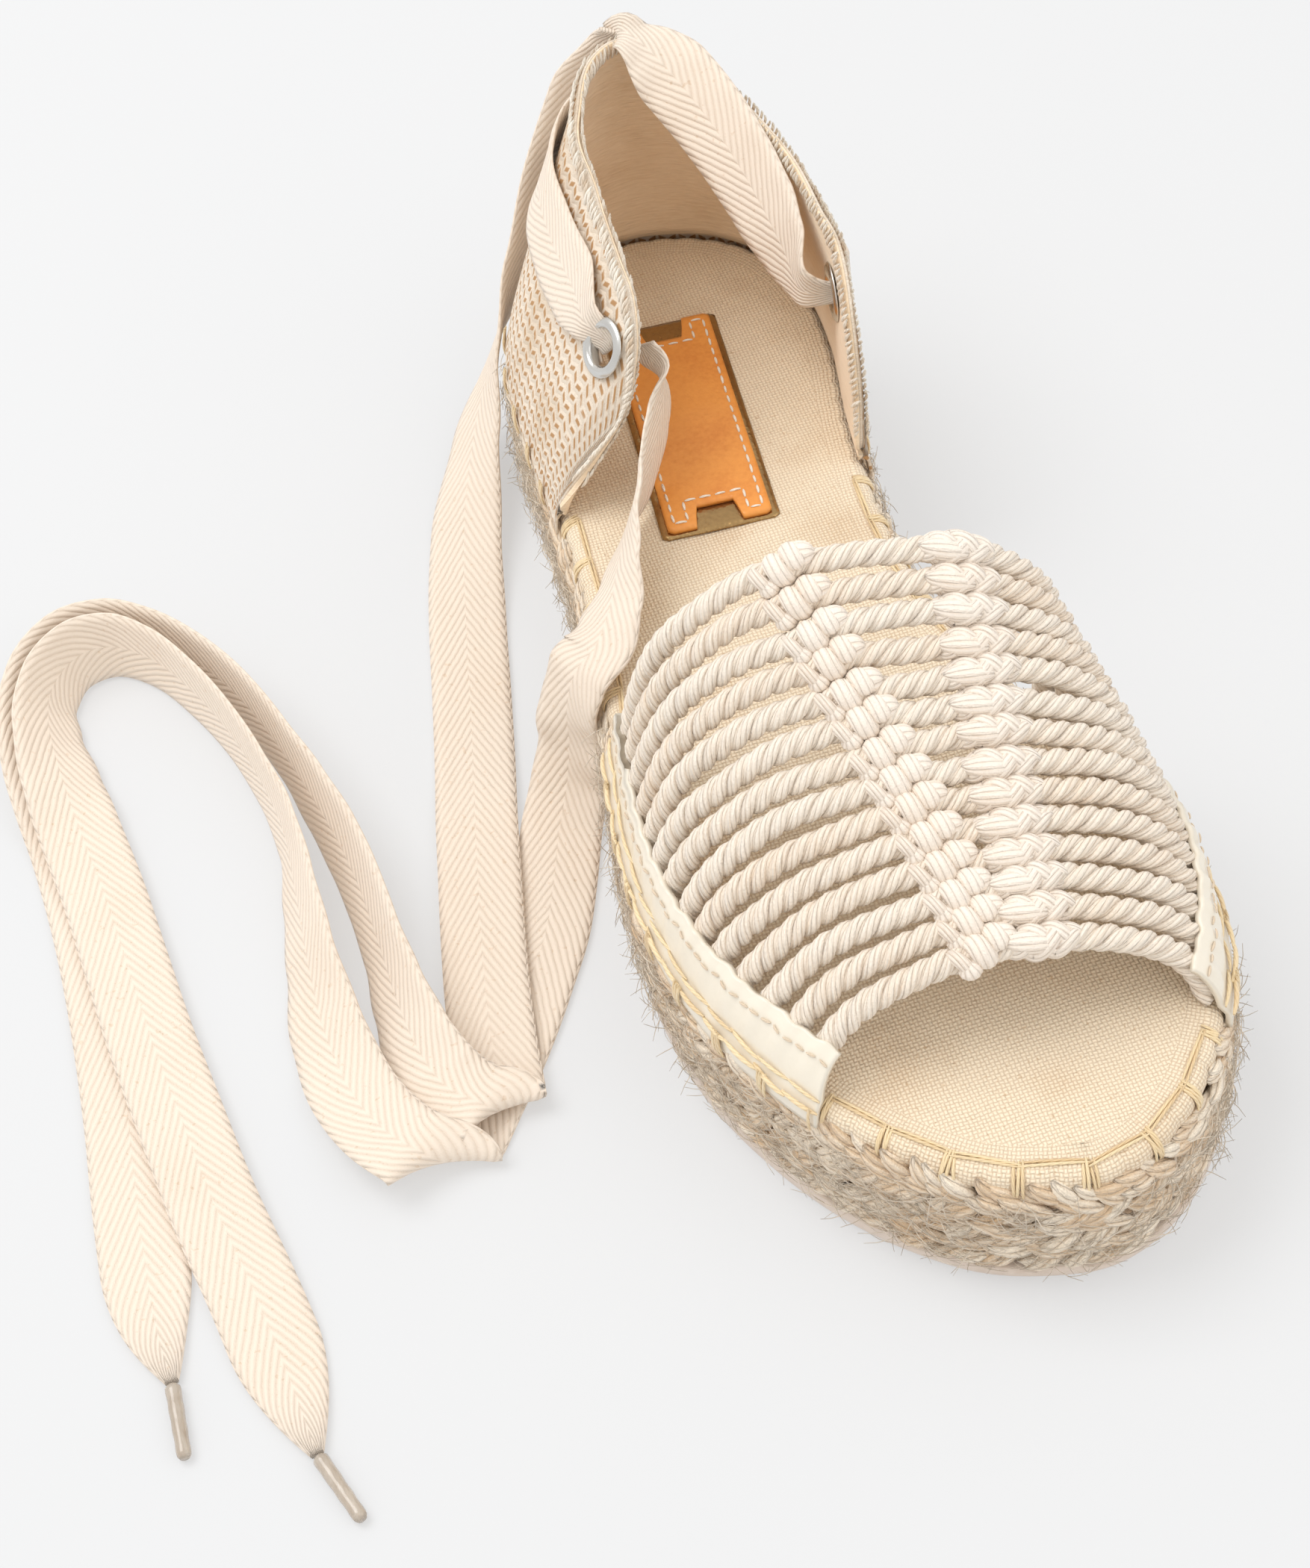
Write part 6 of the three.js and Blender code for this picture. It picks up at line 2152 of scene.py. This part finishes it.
def mix_finishes(effects: Effects) -> dict[str, Material]:
    """Build every material once.

    Args:
        effects: The shared shader groups.

    Returns:
        Materials by a short name.
    """
    finishes = {
        "rubber": SkinFinish("moulded rubber", (222, 206, 192), (194, 174, 156), 0.45, depth=0.04,
                             gloss=0.2),
        "jute": YarnFinish("jute yarn", (255, 240, 218), (230, 198, 160), strands=5.0, lay=7.0,
                           # The core's darker colours are painted shade between the braid's lumps
                           groove=0.4, fibre=0.9),
        "jute_core": YarnFinish("jute shadow", (232, 202, 168), (178, 142, 106), strands=2.0, lay=3.0,
                                groove=0.5, fibre=0.8),
        "jute_hair": YarnFinish("jute hair", (250, 236, 216), (206, 178, 144), groove=0.05, fibre=0.2),
        "canvas": ClothFinish("insole canvas", Cloth.PLAIN, (252, 236, 210), (216, 184, 146), 0.75),
        "gold_thread": YarnFinish("gold thread", (246, 222, 178), (196, 150, 90), roughness=0.4, lay=1.6,
                                  groove=0.08, fibre=0.3, gloss=0.4),
        "white_thread": YarnFinish("pale thread", (250, 240, 224), (206, 180, 146), roughness=0.6,
                                   lay=1.4, groove=0.07, fibre=0.3, gloss=0.1),
        "tan_thread": YarnFinish("tan thread", (230, 210, 184), (182, 154, 122), roughness=0.7, lay=1.4,
                                 groove=0.07, fibre=0.3),
        "overlock": YarnFinish("overlock thread", (250, 242, 228), (198, 164, 122), roughness=0.8,
                               lay=1.6, groove=0.1, fibre=0.5),
        "foil": SkinFinish("label foil", (176, 142, 92), (112, 84, 48), 0.24, grain=1400.0, depth=0.05,
                           gloss=0.3, metallic=0.9),
        "label": SkinFinish("label leather", (238, 158, 72), (208, 118, 42), 0.45, grain=1500.0,
                            depth=0.03, gloss=0.1),
        "rope": YarnFinish("cotton rope", (252, 242, 228), (234, 202, 166), strands=7.0, lay=9.0,
                           groove=0.2, fibre=0.9, soiled=0.12),
        "knot": YarnFinish("knotted rope", (250, 239, 226), (230, 198, 164), strands=9.0, lay=14.0,
                           groove=0.2, fibre=0.9, soiled=0.1),
        "binding": SkinFinish("binding leather", (238, 230, 214), (216, 202, 178), 0.36, grain=1100.0,
                              depth=0.015, gloss=0.35, soiled=0.1, mottle=0.3),
        "knit": KnitFinish("counter knit", (242, 231, 216), (206, 182, 152), (184, 142, 98)),
        "suede": SkinFinish("suede lining", (248, 226, 196), (218, 188, 150), 0.95, grain=1500.0,
                            depth=0.1, stretch=(0.25, 0.25, 1.6), velvet=0.3),
        "steel": SkinFinish("pressed steel", (214, 213, 210), (176, 175, 172), 0.24, grain=300.0,
                            depth=0.005, metallic=1.0, soiled=0.1),
        "twill": ClothFinish("herringbone tape", Cloth.TWILL, (238, 224, 208), (216, 188, 158), 2.8,
                             columns=8.0, depth=0.22, contrast=0.26, soiled=0.12),
        "film": FilmFinish(),
    }
    return {name: finish.material(effects) for name, finish in finishes.items()}


def main() -> None:
    """Build the sandal around the frame, with its camera and light."""
    logging.basicConfig(level=logging.INFO, format="%(message)s")
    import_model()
    studio = Studio()
    studio.build_camera()
    shop = Workshop(Last(), StitchTool(), mix_finishes(Effects()), np.random.default_rng(SEED))
    for assembly in (Tie, Sole, Footbed, RopeVamp, Bindings, HeelCounter):
        LOG.info("building %s", assembly.__name__)
        assembly(shop).build()
    studio.build_light()


if __name__ == "__main__":
    main()
